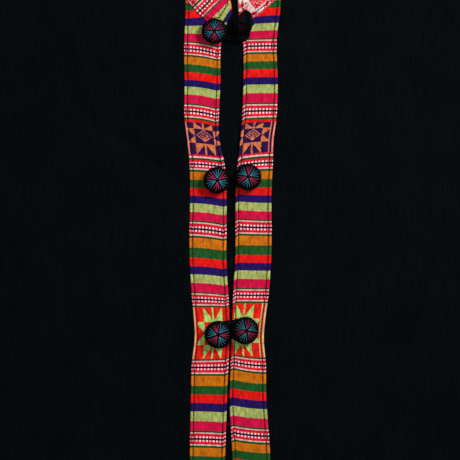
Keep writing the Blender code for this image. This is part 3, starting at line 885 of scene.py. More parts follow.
def side_edge(side, tall):
    """Places up one side of the body, from the hem to the shoulder's end."""
    corners = np.array(body_corners(side))
    y = np.linspace(HEM_Y, SHOULDER_END[1], tall)
    return np.column_stack([np.interp(y, corners[:0:-1, 1], corners[:0:-1, 0]), y])


def panel_grid(left, right, top_line, width):
    """A grid of places between two upright edges, the hem and a line along the top."""
    bottom = with_constant(np.linspace(left[0, 0], right[0, 0], width), HEM_Y)
    x = np.linspace(top_line[0, 0], top_line[-1, 0], width)
    line = top_line[np.argsort(top_line[:, 0])]
    top = np.column_stack([x, np.interp(x, line[:, 0], line[:, 1])])
    return patch_between(bottom, top, left, right)


def make_back():
    width = int(2 * HEM_HALF_WIDTH / BACK_GRID_STEP) + 1
    tall = int(BODY_LENGTH / BACK_GRID_STEP) + 1
    turn = np.linspace(0.0, np.pi, BACK_NECK_POINTS)[1:-1]
    neck_x = -NECK_POINT[0] * np.cos(turn)
    neck_y = NECK_POINT[1] - BACK_NECK_DEPTH * np.sin(turn)
    shoulder = np.array([NECK_POINT, SHOULDER_END])
    neck = np.column_stack([neck_x, neck_y])
    top_line = np.concatenate([(shoulder * [-1, 1])[::-1], neck, shoulder])
    edge = side_edge("right", tall)
    grid = panel_grid(edge * [-1, 1], edge, top_line, width)
    points = np.dstack([grid, np.zeros(grid.shape[:2])])
    item = make_cloth("back", points, grid_faces(tall, width), grid, CLOTH, bottom=True)
    return item


def front_grid(side):
    """Places on a front panel, in rows from the hem up and columns from its front edge."""
    tall = int(BODY_LENGTH / GRID_STEP) + 1
    neck = neck_curve(side, FRONT_NECK_POINTS)
    y = np.linspace(HEM_Y, neck[0, 1], tall)
    inner = np.column_stack([edge_at(INNER, side, y), y])
    top_line = np.concatenate([neck, body_corners(side)[1:2]])
    return panel_grid(inner, side_edge(side, tall), top_line, int(HEM_HALF_WIDTH / GRID_STEP) + 1)


def facing_up(points, faces):
    """The faces of a grid that lies flat, turned if need be so that they look up."""
    a, b, c = (points[faces[:, k]] for k in range(3))
    rise = np.cross(b - a, c - a)[:, 2].sum()
    return faces if rise > 0 else faces[:, ::-1]


def make_front(side):
    grid = front_grid(side)
    points = np.dstack([grid, front_top(grid[..., 0], grid[..., 1], side)])
    faces = facing_up(points.reshape(-1, 3), grid_faces(*grid.shape[:2]))
    item = make_cloth(f"front_{side}", points, faces, grid, SHELL)
    return item


def sleeve_lines(share):
    """The upper and lower fold of the right sleeve, at a column of shares of its length."""
    armhole_top = np.array([SHOULDER_END[0] + SEAM_GAP, SHOULDER_END[1]])
    armhole_low = np.array([UNDERARM[0] + SEAM_GAP, UNDERARM[1]])
    along = direction(-SLEEVE_DROP)
    cuff_top = armhole_top + along * SLEEVE_LENGTH
    cuff_low = cuff_top + np.array([along[1], -along[0]]) * CUFF_WIDTH
    top = armhole_top + (cuff_top - armhole_top) * share
    low = armhole_low + (cuff_low - armhole_low) * share
    return top, low


def sleeve_upper(x, y, step, width, share, sign):
    """Height of the sleeve's upper layer, step from one fold of a given width."""
    edge = np.minimum(step, width - step)
    from_armhole = share * SLEEVE_LENGTH
    fade = smooth_step(edge, SLEEVE_EDGE, SEWN_EDGE_FADE)
    fade = fade * smooth_step(from_armhole, 0.0, SEWN_EDGE_FADE)
    fine = crease_height(sign * x, y) + ripples(x, y)
    for distance in (edge, from_armhole):
        fine = fine * smooth_step(distance, 0.0, SLEEVE_FINE_FADE)
    hem = hem_height(SLEEVE_LENGTH - from_armhole) * smooth_step(edge, 0.0, SLEEVE_HEM_FADE)
    return LAYERS + layer_lift(REST_LIFT, sign * x, y, fade) + fine + hem


def make_sleeve(side):
    """A sleeve folded flat: rings of points round both layers, from the armhole to the cuff."""
    sign = SIGN[side]
    rings = int(SLEEVE_LENGTH / GRID_STEP) + 1
    across = int((SHOULDER_END[1] - UNDERARM[1]) / GRID_STEP) + 1
    share = np.linspace(0.0, 1.0, rings)[:, None]
    top, low = sleeve_lines(share)
    width = np.linalg.norm(low - top, axis=1)[:, None]
    turn = np.radians(SLEEVE_FOLD_TURNS)
    head = SLEEVE_EDGE * (1 - np.cos(turn)) * np.ones_like(width)
    flat = SLEEVE_EDGE + (width - 2 * SLEEVE_EDGE) * np.linspace(0.0, 1.0, across)
    step = np.concatenate([head, flat, width - head[:, ::-1]], axis=1)
    curved = 0.5 * (1 + np.sin(turn))
    rise = np.concatenate([curved, np.ones(across), curved[::-1]])
    place = top[:, None] + (low - top)[:, None] * (step / width)[..., None]
    high = sleeve_upper(place[..., 0], place[..., 1], step, width, share, sign)
    upper = np.where(rise < 1, LAYERS * rise, high)
    lower = LAYERS * (1 - rise) * np.ones_like(step)
    under = slice(-2, 0, -1)
    flat_xy = np.concatenate([place, place[:, under]], axis=1)
    height = np.concatenate([upper, lower[:, under]], axis=1)
    points = np.dstack([sign * flat_xy[..., 0], flat_xy[..., 1], height])
    around = np.concatenate([step, (2 * width - step)[:, under]], axis=1)
    places = np.dstack([around, share * SLEEVE_LENGTH * np.ones_like(around)])
    faces = grid_faces(rings, points.shape[1], closed=True)
    if side == "left":
        faces = faces[:, ::-1]
    item = make_cloth(f"sleeve_{side}", points, faces, places, SLEEVE_SHELL)
    return item


def tube(path, radii, sides, closed=False, up=(0.0, 0.0, 1.0)):
    """Points and faces of a tube round a path. radii are its half sizes sideways and upwards."""
    path = np.asarray(path, float)
    along = directions(path, closed)
    side = unit(np.cross(along, up))
    above = np.cross(side, along)
    turn = np.linspace(0.0, 2 * np.pi, sides, endpoint=False)[None, :, None]
    radii = np.broadcast_to(radii, (len(path), 2))
    ring = side[:, None] * np.cos(turn) * radii[:, 0, None, None]
    ring = ring + above[:, None] * np.sin(turn) * radii[:, 1, None, None]
    points = (path[:, None] + ring).reshape(-1, 3)
    rows = len(path) + 1 if closed else len(path)
    faces = grid_faces(rows, sides, closed=True)[:, ::-1] % len(points)
    return points, faces


def joined(parts):
    """Several sets of points and faces as one set."""
    points, faces, start = [], [], 0
    for some_points, some_faces in parts:
        points.append(some_points)
        faces.append(some_faces + start)
        start += len(some_points)
    return np.concatenate(points), np.concatenate(faces)


def make_seams(side):
    """The sewn edges where front, back and sleeve meet, as soft rolls of turned cloth."""
    corners = body_corners(side)
    parts = []
    for start, end in zip(corners, corners[1:]):
        flat = np.linspace(start, end, int(math.dist(start, end) / GRID_STEP) + 1)
        path = with_constant(flat, SEAM_ROLL_HEIGHT)
        parts.append(tube(path, SEAM_ROLL_RADII, SEAM_ROLL_SIDES))
    item = make_mesh(f"seams_{side}", *joined(parts), MATERIALS["cotton"])
    belongs(item, "black_cotton")


# Woven ribbons


def woven_rows(panels):
    """Sizes of a ribbon's woven rows in order, and what each one shows."""
    sizes, looks = [], []

    def add(name, size, step, low=0.0, high=0.0):
        count = max(1, round(size / step))
        for k in range(count):
            sizes.append(size / count)
            looks.append((name, low + (high - low) * (k + 0.5) / count))

    for kind, size in panels:
        if kind == "run":
            for name, part in zip(RUN_ORDER, size):
                add(name, part, ROW_STEP)
        elif kind in GROUPS:
            whole = sum(share for _, share in GROUPS[kind])
            for name, share in GROUPS[kind]:
                add(name, size * share / whole, ROW_STEP)
        elif kind in STARS:
            shares = STARS[kind][3]
            for (low, high), share in zip(STAR_ROWS, shares):
                add(kind, size * share / sum(shares), STAR_ROW_STEP, low, high)
        else:
            add(kind, size, ROW_STEP)
    return np.array(sizes), looks


def star_is_light(a, along, reach):
    """Whether a place on a star is in the star's own dye. a and along are its distances, in
    cells, from the middle across and along the ribbon, and reach is how far it is from the
    middle of the diamond, in the diamond's size."""
    b = abs(along)
    end_arm = (a < 1) & (b > 1) & ((b - 1 < a) | (a < STAR_RAY))
    side_arm = (a > 1) & (a < STAR_ARM_END) & (b < 1) & (a - 1 < b)
    middle = (reach < 1) & (along > DIAMOND_FILL)
    for low, high in DIAMOND_RINGS:
        middle |= (reach >= low) & (reach < high)
    return end_arm | side_arm | middle


def woven_colours(look, row, across, thread, ribbon):
    """Colours of one woven row. across is each place's distance from the ribbon's outer edge,
    and thread its number."""
    name, along = look
    chance = np.random.default_rng([WEAVE_SEED, row])
    if name == "dots":
        white = (thread // DOT_THREADS) % 2 == 0
        return np.where(white[:, None], linear("dot_white"), linear("bright_crimson"))
    if name in STARS:
        ground, light, line, _ = STARS[name]
        a = abs(across - STAR_MIDDLES[ribbon][name]) / STAR_CELL
        a = abs(a + STAR_RAGGED * chance.uniform(-1.0, 1.0, len(a)))
        reach = (a + abs(along - DIAMOND_MIDDLE)) / DIAMOND_SIZE
        lit = star_is_light(a, along, reach)
        lit &= chance.uniform(0.0, 1.0, len(a)) > STAR_MISSED
        lit |= chance.uniform(0.0, 1.0, len(a)) < STAR_FLECKS.get(name, 0.0)
        found = np.where(lit[:, None], linear(light), linear(ground))
        lines = (reach >= DIAMOND_OUTLINE) & (reach < 1)
        for low, high in STAR_LINES[ribbon]:
            lines |= (across >= low) & (across < high)
        return np.where(lines[:, None], linear(line), found)
    return np.tile(linear(name), (len(across), 1))


def painted_margin_light_and_groove_shade(step, width):
    """Painted light and shade across a ribbon: the puffed turned margins painted brighter, as if
    facing the light, and the stitched grooves painted darker with shade.
    """
    edge = np.minimum(step, width - step)
    groove = bell(edge - MARGIN, GROOVE_PAINTED_SHADE_HALF_WIDTH)
    return np.where(edge < MARGIN, MARGIN_PAINTED_LIGHT, 1.0) * (1 - GROOVE_PAINTED_SHADE * groove)


def ribbon_relief(step, width):
    """A ribbon's height over the cloth: turned edges, stitched grooves and soft margins."""
    edge = np.minimum(step, width - step)
    roll = np.interp(edge, RIBBON_ROLL_STEPS, RIBBON_ROLL_RISES)
    groove = GROOVE_DEPTH * bell(edge - MARGIN, GROOVE_HALF_WIDTH)
    puff = MARGIN_PUFF * np.sin(np.pi * np.clip(edge / MARGIN, 0.0, 1.0))
    return RIBBON_RISE * roll + puff - groove


def column_steps(width):
    """Distances of a band's columns of points from its outer edge, for each of its widths."""
    threads = THREAD_STEP * np.arange(1, REGULAR_COLUMNS + 1)
    regular = np.concatenate([RIBBON_ROLL_STEPS[:2], threads])
    free_width = width - RIBBON_ROLL_STEPS[1] - regular[-1]
    shares = np.arange(1, FREE_COLUMNS + 1) / FREE_COLUMNS
    free = regular[-1] + free_width[:, None] * shares
    return np.column_stack([np.tile(regular, (len(width), 1)), free, width])


def below_neck(x, y, side):
    """Whether a place on a band is on the front, and far enough below its neck edge."""
    curve = neck_curve(side, NECK_ROWS)
    return y < np.interp(abs(x), abs(curve[:, 0]), curve[:, 1]) - BAND_TUCK


def band_width(side, y):
    return abs(edge_at(INNER, side, y) - edge_at(OUTER, side, y))


def band_place(side, level, step, width):
    """Where a place on a band lies: its level is that of its cross stripe at the outer edge
    of the left band, and step its distance from the outer edge."""
    share = step / width
    moved = EDGE_CURL[side] * smooth_step(step, width - MARGIN, width)
    moved = moved - table_value(STRIPE_LEVELS, DROP[side], level) * share**2
    if side == "right":
        moved = moved + table_value(STRIPE_LEVELS, RIGHT_RISE, level)
    y = level + moved * smooth_step(level, HEM_Y, HEM_Y + HEM_STRIPE_SETTLE)
    return edge_at(OUTER, side, y) - SIGN[side] * band_width(side, y) * share, y


def sewn_line(x, y, side, over=0.0):
    """Points of a stitch line in a ribbon's groove."""
    return np.column_stack([x, y, front_top(x, y, side) + over + STITCH_HEIGHT])


def make_ribbon(node, points, faces, places, colours, lines):
    """A woven ribbon that stands for a solid, with its stitch lines."""
    faces = facing_up(points.reshape(-1, 3), faces)
    item = make_mesh(f"ribbon_{node}", points, faces, MATERIALS["ribbon"], places, colours)
    belongs(item, "woven_ribbon", node)
    sewn = make_stitches(f"stitches_{node}", lines, STITCH_RADIUS)
    return item


def make_band(side):
    sizes, looks = woven_rows(BAND_PANELS)
    level = BAND_TOP - running_sum(sizes)
    level[-1] = HEM_Y
    width = band_width(side, level)
    step = column_steps(width)
    x, y = band_place(side, level[:, None], step, width[:, None])
    points = np.dstack([x, y, front_top(x, y, side) + ribbon_relief(step, width[:, None])])
    faces = grid_faces(*x.shape)
    middle = step.ravel()[faces].mean(axis=1).reshape(len(looks), -1)
    thread = np.arange(middle.shape[1])
    # Woven colours, with painted light on the puffed margins and painted shade in the stitched
    # grooves
    colours = [
        woven_colours(look, k, middle[k], thread, f"band {side}")
        * painted_margin_light_and_groove_shade(middle[k], 0.5 * (width[k] + width[k + 1]))[:, None]
        for k, look in enumerate(looks)
    ]
    centre = points.reshape(-1, 3)[faces].mean(axis=1)
    keep = below_neck(centre[:, 0], centre[:, 1], side)
    places = np.dstack([step, np.tile(level[:, None], step.shape[1])])
    at = np.arange(HEM_Y, BAND_TOP, STITCH_LINE_STEP)
    lines = []
    for inset in (MARGIN, band_width(side, at) - MARGIN):
        sewn_x = edge_at(OUTER, side, at) - SIGN[side] * inset
        lines.append(sewn_line(sewn_x, at, side)[below_neck(sewn_x, at, side)])
    colours = np.concatenate(colours)[keep]
    return make_ribbon(
        f"band_{side}", points, faces[keep], places, colours, lines
    )


def strip_run(side):
    """The neck ribbon's run: points on the neck edge, their distance along it, the direction
    from each one across the ribbon, and the direction in which the run starts."""
    upper = neck_curve(side, NECK_ROWS)
    along = directions(upper)
    across = np.column_stack([along[:, 1], -along[:, 0]]) * SIGN[side]
    shoulder = unit([[SIGN[side] * SHOULDER_END[0], SHOULDER_END[1]]] - upper[-1:])
    turn = smooth_step(np.linspace(0.0, 1.0, NECK_ROWS), NECK_TURN_START, 1.0)[:, None]
    across = unit(across * (1 - turn) + shoulder * turn)
    return upper, distances(upper), across, along[0]


def strip_place(run, along_edge, step):
    """Where a place of the neck ribbon lies, a distance along the neck edge and a step across."""
    upper, length, across, heading = run
    inside = np.maximum(along_edge, 0.0)
    before = np.minimum(along_edge, 0.0)
    way = at_distances(across, length, inside)
    base = at_distances(upper, length, inside)
    return base + way * step[..., None] + heading * before[..., None]


def strip_end(side, run):
    """The cut front end of a neck ribbon: steps across it, and how far it reaches past the
    corner there."""
    upper, _, across, heading = run
    corners = np.array([upper[0], *NECK_SIDES[side]["end"]]) - upper[0]
    return corners @ across[0], corners @ heading


def over_band(x, y, side):
    """How much higher the neck ribbon lies where the band is under it."""
    return RIBBON_OVER_RIBBON * (1 - smooth_step(past_band(x, y, side), 0.0, BAND_STEP_REACH))


def make_neck_ribbon(side):
    run = strip_run(side)
    end_steps, end_reach = strip_end(side, run)
    start, length = end_reach.min(), run[1][-1]
    sizes, looks = woven_rows(NECK_PANELS[side])
    woven = running_sum(sizes) + start
    rows = np.concatenate([woven[woven < length - 0.5 * ROW_STEP], [length]])[:, None]
    inner = THREAD_STEP * np.arange(1, int(NECK_RIBBON_WIDTH / THREAD_STEP) + 1)
    last = NECK_RIBBON_WIDTH - RIBBON_ROLL_STEPS[1]
    inner = inner[inner < last - LEAST_COLUMN]
    steps = np.concatenate([RIBBON_ROLL_STEPS[:2], inner, [last, NECK_RIBBON_WIDTH]])
    step = np.tile(steps, (len(rows), 1))
    reach = np.interp(step, end_steps, end_reach)
    settled = reach + (STRIP_SETTLE - reach) * (rows - start) / (STRIP_SETTLE - start)
    along_edge = np.where(rows < STRIP_SETTLE, settled, rows)
    place = strip_place(run, along_edge, step)
    x, y = place[..., 0], place[..., 1]
    over = over_band(x, y, side) * np.interp(step, NECK_EDGE_WRAP, (0.0, 1.0))
    from_end = along_edge - reach
    relief = ribbon_relief(step, NECK_RIBBON_WIDTH)
    relief -= GROOVE_DEPTH * bell(from_end - END_MARGIN, GROOVE_HALF_WIDTH)
    roll = np.interp(from_end, RIBBON_ROLL_STEPS, RIBBON_ROLL_RISES)
    points = np.dstack([x, y, front_top(x, y, side) + over + relief * roll])
    faces = grid_faces(*x.shape)
    across, along, end = (v.ravel()[faces].mean(axis=1) for v in (step, along_edge, from_end))
    across = NECK_RIBBON_WIDTH - across
    row = np.clip(np.searchsorted(woven, along) - 1, 0, len(looks) - 1)
    thread = (across / THREAD_STEP).astype(int)
    colours = np.zeros((len(faces), 3))
    for k in np.unique(row):
        at = row == k
        colours[at] = woven_colours(looks[k], k, across[at], thread[at], f"neck {side}")
    # Painted light on the puffed margins, and painted shade in the stitched grooves along the
    # edges and across the cut end
    colours *= painted_margin_light_and_groove_shade(across, NECK_RIBBON_WIDTH)[:, None]
    colours *= 1 - GROOVE_PAINTED_SHADE * bell(end - END_MARGIN, GROOVE_PAINTED_SHADE_HALF_WIDTH)[:, None]
    places = np.dstack([step, along_edge])
    lines = strip_stitch_lines(side, run)
    return make_ribbon(f"neck_{side}", points, faces, places, colours, lines)


def strip_stitch_lines(side, run):
    """Stitch lines of a neck ribbon: along both edges and across its cut end."""
    end_steps, end_reach = strip_end(side, run)
    lines = []
    for inset in (MARGIN, NECK_RIBBON_WIDTH - MARGIN):
        first = np.interp(inset, end_steps, end_reach) + END_MARGIN
        at = np.arange(first, run[1][-1], STITCH_LINE_STEP)
        lines.append((at, np.full(len(at), inset)))
    step = np.arange(MARGIN, NECK_RIBBON_WIDTH - MARGIN, STITCH_LINE_STEP)
    lines.append((np.interp(step, end_steps, end_reach) + END_MARGIN, step))
    found = []
    for at, step in lines:
        x, y = strip_place(run, at, step).T
        found.append(sewn_line(x, y, side, over_band(x, y, side)))
    return found


def make_stitches(name, lines, radius):
    """Stitches along lines of points, as one piece: short threads that dip at both ends."""
    shape = np.array(STITCH_RINGS)
    parts = []
    for line in lines:
        length = distances(line)
        for start in np.arange(0.5 * STITCH_PITCH, length[-1] - STITCH_LENGTH, STITCH_PITCH):
            path = at_distances(line, length, start + shape[:, 0] * STITCH_LENGTH)
            path[:, 2] += shape[:, 2]
            parts.append(tube(path, shape[:, 1:2] * radius, STITCH_SIDES))
    return belongs(make_mesh(name, *joined(parts), MATERIALS["stitch"]), "button_thread")


def make_hem_stitches(side):
    """Stitches of the turned hem and of the turned cuff, on the upper layer."""
    sign = SIGN[side]
    y = HEM_Y + HEM_DEPTH - HEM_STITCH_INSET
    start = abs(float(edge_at(OUTER, side, y))) + HEM_STITCH_FIRST
    at = sign * np.arange(start, HEM_HALF_WIDTH - HEM_STITCH_END, HEM_LINE_STEP)
    x, y = with_constant(at, y).T
    hem = np.column_stack([x, y, front_top(x, y, side)])
    share = np.array([[1 - (HEM_DEPTH - HEM_STITCH_INSET) / SLEEVE_LENGTH]])
    top, low = sleeve_lines(share)
    width = np.linalg.norm(low - top)
    step = np.arange(HEM_STITCH_END, width - HEM_STITCH_END, HEM_LINE_STEP)
    x, y = (top + (low - top) * (step / width)[:, None]).T
    height = sleeve_upper(x, y, step, width, share[0], sign)
    cuff = np.column_stack([sign * x, y, height])
    make_stitches(f"stitches_hem_{side}", [hem, cuff], HEM_STITCH_RADIUS)


# Buttons, stems and loops


def button_shape(turn, thread_tone_and_painted_shade):
    """A button's points, faces and colours: a pleated black dome with coloured threads on it."""
    radii = np.linspace(0.0, BUTTON_RADIUS, BUTTON_RINGS + 1)[1:]
    around = np.linspace(0.0, 2 * np.pi, BUTTON_PLEATS * PLEAT_POINTS, endpoint=False)
    rings = [(r, float(table_value(BUTTON_PROFILE, 1, r))) for r in radii] + BUTTON_UNDERSIDE
    points = [np.tile([0.0, 0.0, BUTTON_PROFILE[0][1]], (len(around), 1))]
    for k, (radius, height) in enumerate(rings):
        depth = PLEAT_DEPTH * smooth_step(radius, *PLEAT_FADE) if k < BUTTON_RINGS else 0.0
        pleat = depth * np.cos(BUTTON_PLEATS * around)
        far = radius + pleat * (radius > PLEAT_RIM_SHARE * BUTTON_RADIUS)
        flat = far * np.cos(around), far * np.sin(around)
        points.append(np.column_stack([*flat, height + pleat]))
    faces = grid_faces(len(rings) + 1, len(around), closed=True)[:, ::-1]
    parts = [(np.concatenate(points), faces)]
    colours = [np.tile(linear("button_black"), (len(faces), 1))]
    chance = np.random.default_rng([THREAD_SEED, round(abs(turn))])
    pitch = 360.0 / sum(count for _, count in THREAD_GROUPS)
    share = np.linspace(0.0, 1.0, THREAD_POINTS)[:, None]
    wave = np.sin(np.pi * (THREAD_TAPER[0] + THREAD_TAPER[1] * share))
    thickness = THREAD_RADIUS * np.sqrt(wave)
    angle = THREAD_FIRST_ANGLE + turn
    for name, count in THREAD_GROUPS:
        root = THREAD_ROOT * direction(angle - 0.5 * (count - 1) * pitch)
        for k in range(count):
            reach = THREAD_END * (1 - THREAD_SHORTER * chance.uniform(0.0, 1.0))
            lean = THREAD_LEAN * chance.uniform(-1.0, 1.0)
            flat = root + (reach * direction(angle - k * pitch + lean) - root) * share
            height = table_value(BUTTON_PROFILE, 1, np.hypot(*flat.T)) + THREAD_SIT
            parts.append(tube(np.column_stack([flat, height]), thickness, STITCH_SIDES))
            # Thread dye dimmed by the row's factor: the threads' duller tone, with painted shade
            # on the top right button
            colours.append(np.tile(thread_tone_and_painted_shade * linear(name), (len(parts[-1][1]), 1)))
        angle -= count * pitch
    return *joined(parts), np.concatenate(colours)


def make_button(name, x, y, tip_x, tip_y, foot_x, foot_y, raised, turn, size, thread_tone_and_painted_shade):
    foot_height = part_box(f"stem_{name}")[0][2] / MM
    back_height = foot_height + (STEM_ROOM if raised is None else raised)
    tipped = np.array(Euler((math.radians(tip_x), math.radians(tip_y), 0.0)).to_matrix())
    points, faces, colours = button_shape(turn, thread_tone_and_painted_shade)
    places = points[:, :2]
    points = (points * [size, size, 1.0]) @ tipped.T + [x, y, back_height]
    thread = MATERIALS["button_thread"]
    item = make_mesh(f"thread_button_{name}", points, faces, thread, places, colours)
    belongs(item, "button_thread", f"button_{name}")
    foot = np.array([foot_x, foot_y, foot_height])
    head = np.array([x, y, back_height])
    bend = STEM_BEND * np.linalg.norm(head - foot)
    bends = [foot, foot + [0.0, 0.0, bend], head - tipped[:, 2] * bend, head]
    t = np.linspace(0.0, 1.0, STEM_POINTS)[:, None]
    path = sum(math.comb(3, k) * t**k * (1 - t) ** (3 - k) * bends[k] for k in range(4))
    radius = STEM_RADIUS - STEM_GROOVE * (1 + np.cos(2 * np.pi * STEM_WINDINGS * t))
    wound = tube(path, radius, STEM_SIDES, up=(0.0, 1.0, 0.0))
    stem = make_mesh(f"wrapped_stem_{name}", *wound, MATERIALS["cord"])
    belongs(stem, "black_cord", f"stem_{name}")


def ring_path(start, end, radius):
    """A long ring round two points, from half circles at its ends, and its length."""
    start, end = np.array(start), np.array(end)
    along = (end - start) / np.linalg.norm(end - start)
    across = np.array([-along[1], along[0]])
    turn = np.linspace(-0.5 * np.pi, 0.5 * np.pi, RING_END_POINTS)[:, None]
    half = radius * (along * np.cos(turn) + across * np.sin(turn))
    outline = np.concatenate([end + half, start - half, end + half[:1]])
    length = distances(outline)
    count = int(length[-1] / CORD_STEP)
    return at_distances(outline, length, length[-1] * np.arange(count) / count), length[-1]


def make_loop(name, x0, y0, x1, y1, width, slot, turns_of_cord):
    low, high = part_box(f"loop_{name}")
    middle_height = 0.5 * (low[2] + high[2]) / MM
    half_height = 0.5 * (high[2] - low[2]) / MM
    cord = (width - slot) / CORDS_ACROSS
    strand = 0.5 * cord * STRAND_SHARE
    upward = half_height * STRAND_SHARE
    parts = []
    for number in range(turns_of_cord):
        flat, length = ring_path((x0, y0), (x1, y1), 0.5 * width - (number + 0.5) * cord)
        path = with_constant(flat, middle_height)
        side = np.cross(directions(path, closed=True), [0.0, 0.0, 1.0])
        hand = 1.0 if number == 1 else -1.0
        twist = hand * round(length / CORD_TWIST) * np.arange(len(path)) / len(path)
        for k in range(CORD_STRANDS):
            angle = 2 * np.pi * (twist + k / CORD_STRANDS)
            offset = side * ((0.5 * cord - strand) * np.cos(angle))[:, None]
            offset[:, 2] += (half_height - upward) * np.sin(angle)
            parts.append(tube(path + offset, (strand, upward), CORD_SIDES, closed=True))
    item = make_mesh(f"cord_loop_{name}", *joined(parts), MATERIALS["cord"])
    belongs(item, "black_cord", f"loop_{name}")


# Materials


def feed(tree, node, inputs):
    """Links each named input of a node to an output, or else sets its value."""
    for name, value in inputs.items():
        if isinstance(value, bpy.types.NodeSocket):
            tree.links.new(value, node.inputs[name])
        else:
            node.inputs[name].default_value = value
    return node


def add_node(tree, kind, inputs):
    return feed(tree, tree.nodes.new(f"ShaderNode{kind}"), inputs)


def new_material(name, roughness, sheen, sheen_roughness, specular):
    material = bpy.data.materials.new(name)
    material.use_nodes = True
    inputs = {
        "Roughness": roughness,
        "Sheen Weight": sheen,
        "Sheen Roughness": sheen_roughness,
        "Specular IOR Level": specular,
    }
    tree = material.node_tree
    return material, tree, feed(tree, tree.nodes["Principled BSDF"], inputs)


def cloth_place(tree, across, along):
    """The place on the cut cloth, with its two directions scaled to features of given sizes."""
    place = tree.nodes.new("ShaderNodeUVMap")
    place.uv_map = "cut"
    inputs = {"Scale": (1 / across, 1 / along, 1.0), "Vector": place.outputs["UV"]}
    return add_node(tree, "Mapping", inputs).outputs["Vector"]


def noise(tree, across, along, detail):
    """Soft random values, with features of given sizes across and along the cloth."""
    inputs = {"Scale": 1.0, "Detail": detail, "Vector": cloth_place(tree, across, along)}
    return add_node(tree, "TexNoise", inputs).outputs["Fac"]


def ribs(tree, size, along_cloth):
    """Even ridges of a given spacing, one way or the other across the cloth."""
    inputs = {
        "Scale": WAVE_UNIT,
        "Distortion": RIB_WANDER,
        "Detail Scale": RIB_WANDER_SCALE,
        "Vector": cloth_place(tree, size, size),
    }
    texture = add_node(tree, "TexWave", inputs)
    texture.bands_direction = "Y" if along_cloth else "X"
    return texture.outputs["Fac"]


def weigh(tree, value, low, high):
    """A 0-to-1 value, turned into one from low to high."""
    inputs = {
        "Value": value,
        "From Min": NOISE_LOW,
        "From Max": NOISE_HIGH,
        "To Min": low,
        "To Max": high,
    }
    return add_node(tree, "MapRange", inputs).outputs["Result"]


def product(tree, first, second):
    times = add_node(tree, "Math", {0: first, 1: second})
    times.operation = "MULTIPLY"
    return times.outputs["Value"]


def tint(tree, shader, colour, strength):
    """The base colour: one colour or a colour output, lighter and darker by a value."""
    scale = tree.nodes.new("ShaderNodeVectorMath")
    scale.operation = "SCALE"
    feed(tree, scale, {0: colour, "Scale": strength})
    feed(tree, shader, {"Base Color": scale.outputs["Vector"]})


def bump(tree, shader, reliefs):
    """Relief from several values, each with its depth in millimetres."""
    normal = {}
    for value, depth in reliefs:
        inputs = {"Strength": 1.0, "Distance": depth * MM, "Height": value, **normal}
        normal = {"Normal": add_node(tree, "Bump", inputs).outputs["Normal"]}
    feed(tree, shader, normal)


def shade(tree, across, along, detail, low, high):
    return weigh(tree, noise(tree, across, along, detail), low, high)


def relief(tree, across, along, detail, depth):
    return noise(tree, across, along, detail), depth


def dye_colour(tree):
    dye = tree.nodes.new("ShaderNodeVertexColor")
    dye.layer_name = "dye"
    return dye.outputs["Color"]


def black_cotton():
    material, tree, shader = new_material("black cotton", *COTTON_FINISH)
    shader.inputs["Sheen Tint"].default_value = (*COTTON_SHEEN_TINT, 1.0)
    slub, cloud = (shade(tree, *row) for row in COTTON_SHADES)
    tint(tree, shader, COTTON_COLOUR, product(tree, slub, cloud))
    weave = product(tree, ribs(tree, COTTON_WEAVE, False), ribs(tree, COTTON_WEAVE, True))
    folds = [relief(tree, *row) for row in COTTON_RELIEFS]
    bump(tree, shader, [(weave, COTTON_WEAVE_DEPTH), *folds])
    return material


def woven_ribbon():
    material, tree, shader = new_material("woven ribbon", *RIBBON_FINISH)
    streak, patch = (shade(tree, *row) for row in RIBBON_SHADES)
    inputs = {
        "Color1": dye_colour(tree),
        "Color2": (*WARP_COLOUR, 1.0),
        "Fac": shade(tree, *WARP_SHOWS),
    }
    warp = add_node(tree, "MixRGB", inputs)
    tint(tree, shader, warp.outputs["Color"], product(tree, streak, patch))
    warps = ribs(tree, THREAD_STEP, False), WARP_DEPTH
    wefts = ribs(tree, ROW_STEP, True), WEFT_DEPTH
    bump(tree, shader, [warps, wefts, relief(tree, *RIBBON_RELIEF)])
    return material


def button_thread():
    material, tree, shader = new_material("button thread", *BUTTON_FINISH)
    tint(tree, shader, dye_colour(tree), shade(tree, *BUTTON_SHADE))
    bump(tree, shader, [relief(tree, *BUTTON_RELIEF)])
    return material


def plain_thread(name, colour):
    material, tree, shader = new_material(name, *THREAD_FINISH)
    tint(tree, shader, tuple(colour), shade(tree, *THREAD_SHADE))
    bump(tree, shader, [relief(tree, *THREAD_RELIEF)])
    return material


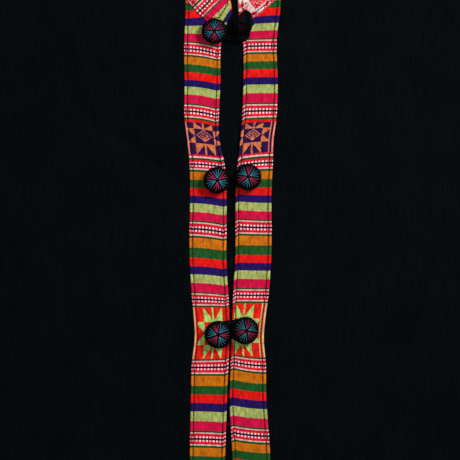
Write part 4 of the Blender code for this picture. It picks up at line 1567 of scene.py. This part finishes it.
def floor_material():
    material, tree, shader = new_material("pale board", *FLOOR_FINISH)
    place = tree.nodes.new("ShaderNodeTexCoord").outputs["Object"]
    grain = add_node(tree, "TexNoise", {"Scale": FLOOR_GRAIN, "Vector": place})
    tint(tree, shader, FLOOR_COLOUR, weigh(tree, grain.outputs["Fac"], *FLOOR_SHADES))
    return material


MATERIALS = {
    "cotton": black_cotton(),
    "ribbon": woven_ribbon(),
    "button_thread": button_thread(),
    "cord": plain_thread("black cord", CORD_COLOUR),
    "stitch": plain_thread("stitching", linear("stitch")),
}


# Camera, floor and light


def add_area_light(name, place, size, power):
    light = bpy.data.lights.new(name, "AREA")
    light.size = size
    light.energy = power
    item = placed(bpy.data.objects.new(name, light))
    item.location = place
    target = Vector(VIEW_MIDDLE) * MM
    item.rotation_euler = (target - item.location).to_track_quat("-Z", "Y").to_euler()


def add_camera():
    camera = bpy.data.cameras.new("camera")
    camera.lens = LENS
    camera.sensor_width = SENSOR
    camera.clip_start = CLIP_START
    camera.clip_end = CLIP_END
    item = placed(bpy.data.objects.new("camera", camera))
    distance = VIEW_WIDTH * LENS / SENSOR
    item.location = (Vector(VIEW_MIDDLE) + Vector((0.0, 0.0, distance))) * MM
    bpy.context.scene.camera = item


def add_floor():
    half = FLOOR_HALF_SIZE
    corners = [(-half, -half), (half, -half), (half, half), (-half, half)]
    points = with_constant(corners, -FLOOR_DROP)
    floor = make_mesh("floor", points, [[0, 1, 2, 3]], floor_material())


def add_world():
    world = bpy.data.worlds.new("soft light")
    world.use_nodes = True
    background = world.node_tree.nodes["Background"]
    background.inputs["Color"].default_value = (1.0, 1.0, 1.0, 1.0)
    background.inputs["Strength"].default_value = WORLD_LIGHT
    bpy.context.scene.world = world


add_camera()
add_floor()
add_world()
add_area_light("key light", KEY_PLACE, KEY_SIZE, KEY_POWER)
add_area_light("fill light", FILL_PLACE, FILL_SIZE, FILL_POWER)
bpy.context.scene.view_settings.view_transform = "Standard"

make_back()
for side in ("left", "right"):
    make_front(side)
    make_sleeve(side)
    make_seams(side)
    make_band(side)
    make_neck_ribbon(side)
    make_hem_stitches(side)
for row in BUTTONS:
    make_button(*row)
for row in LOOPS:
    make_loop(*row)
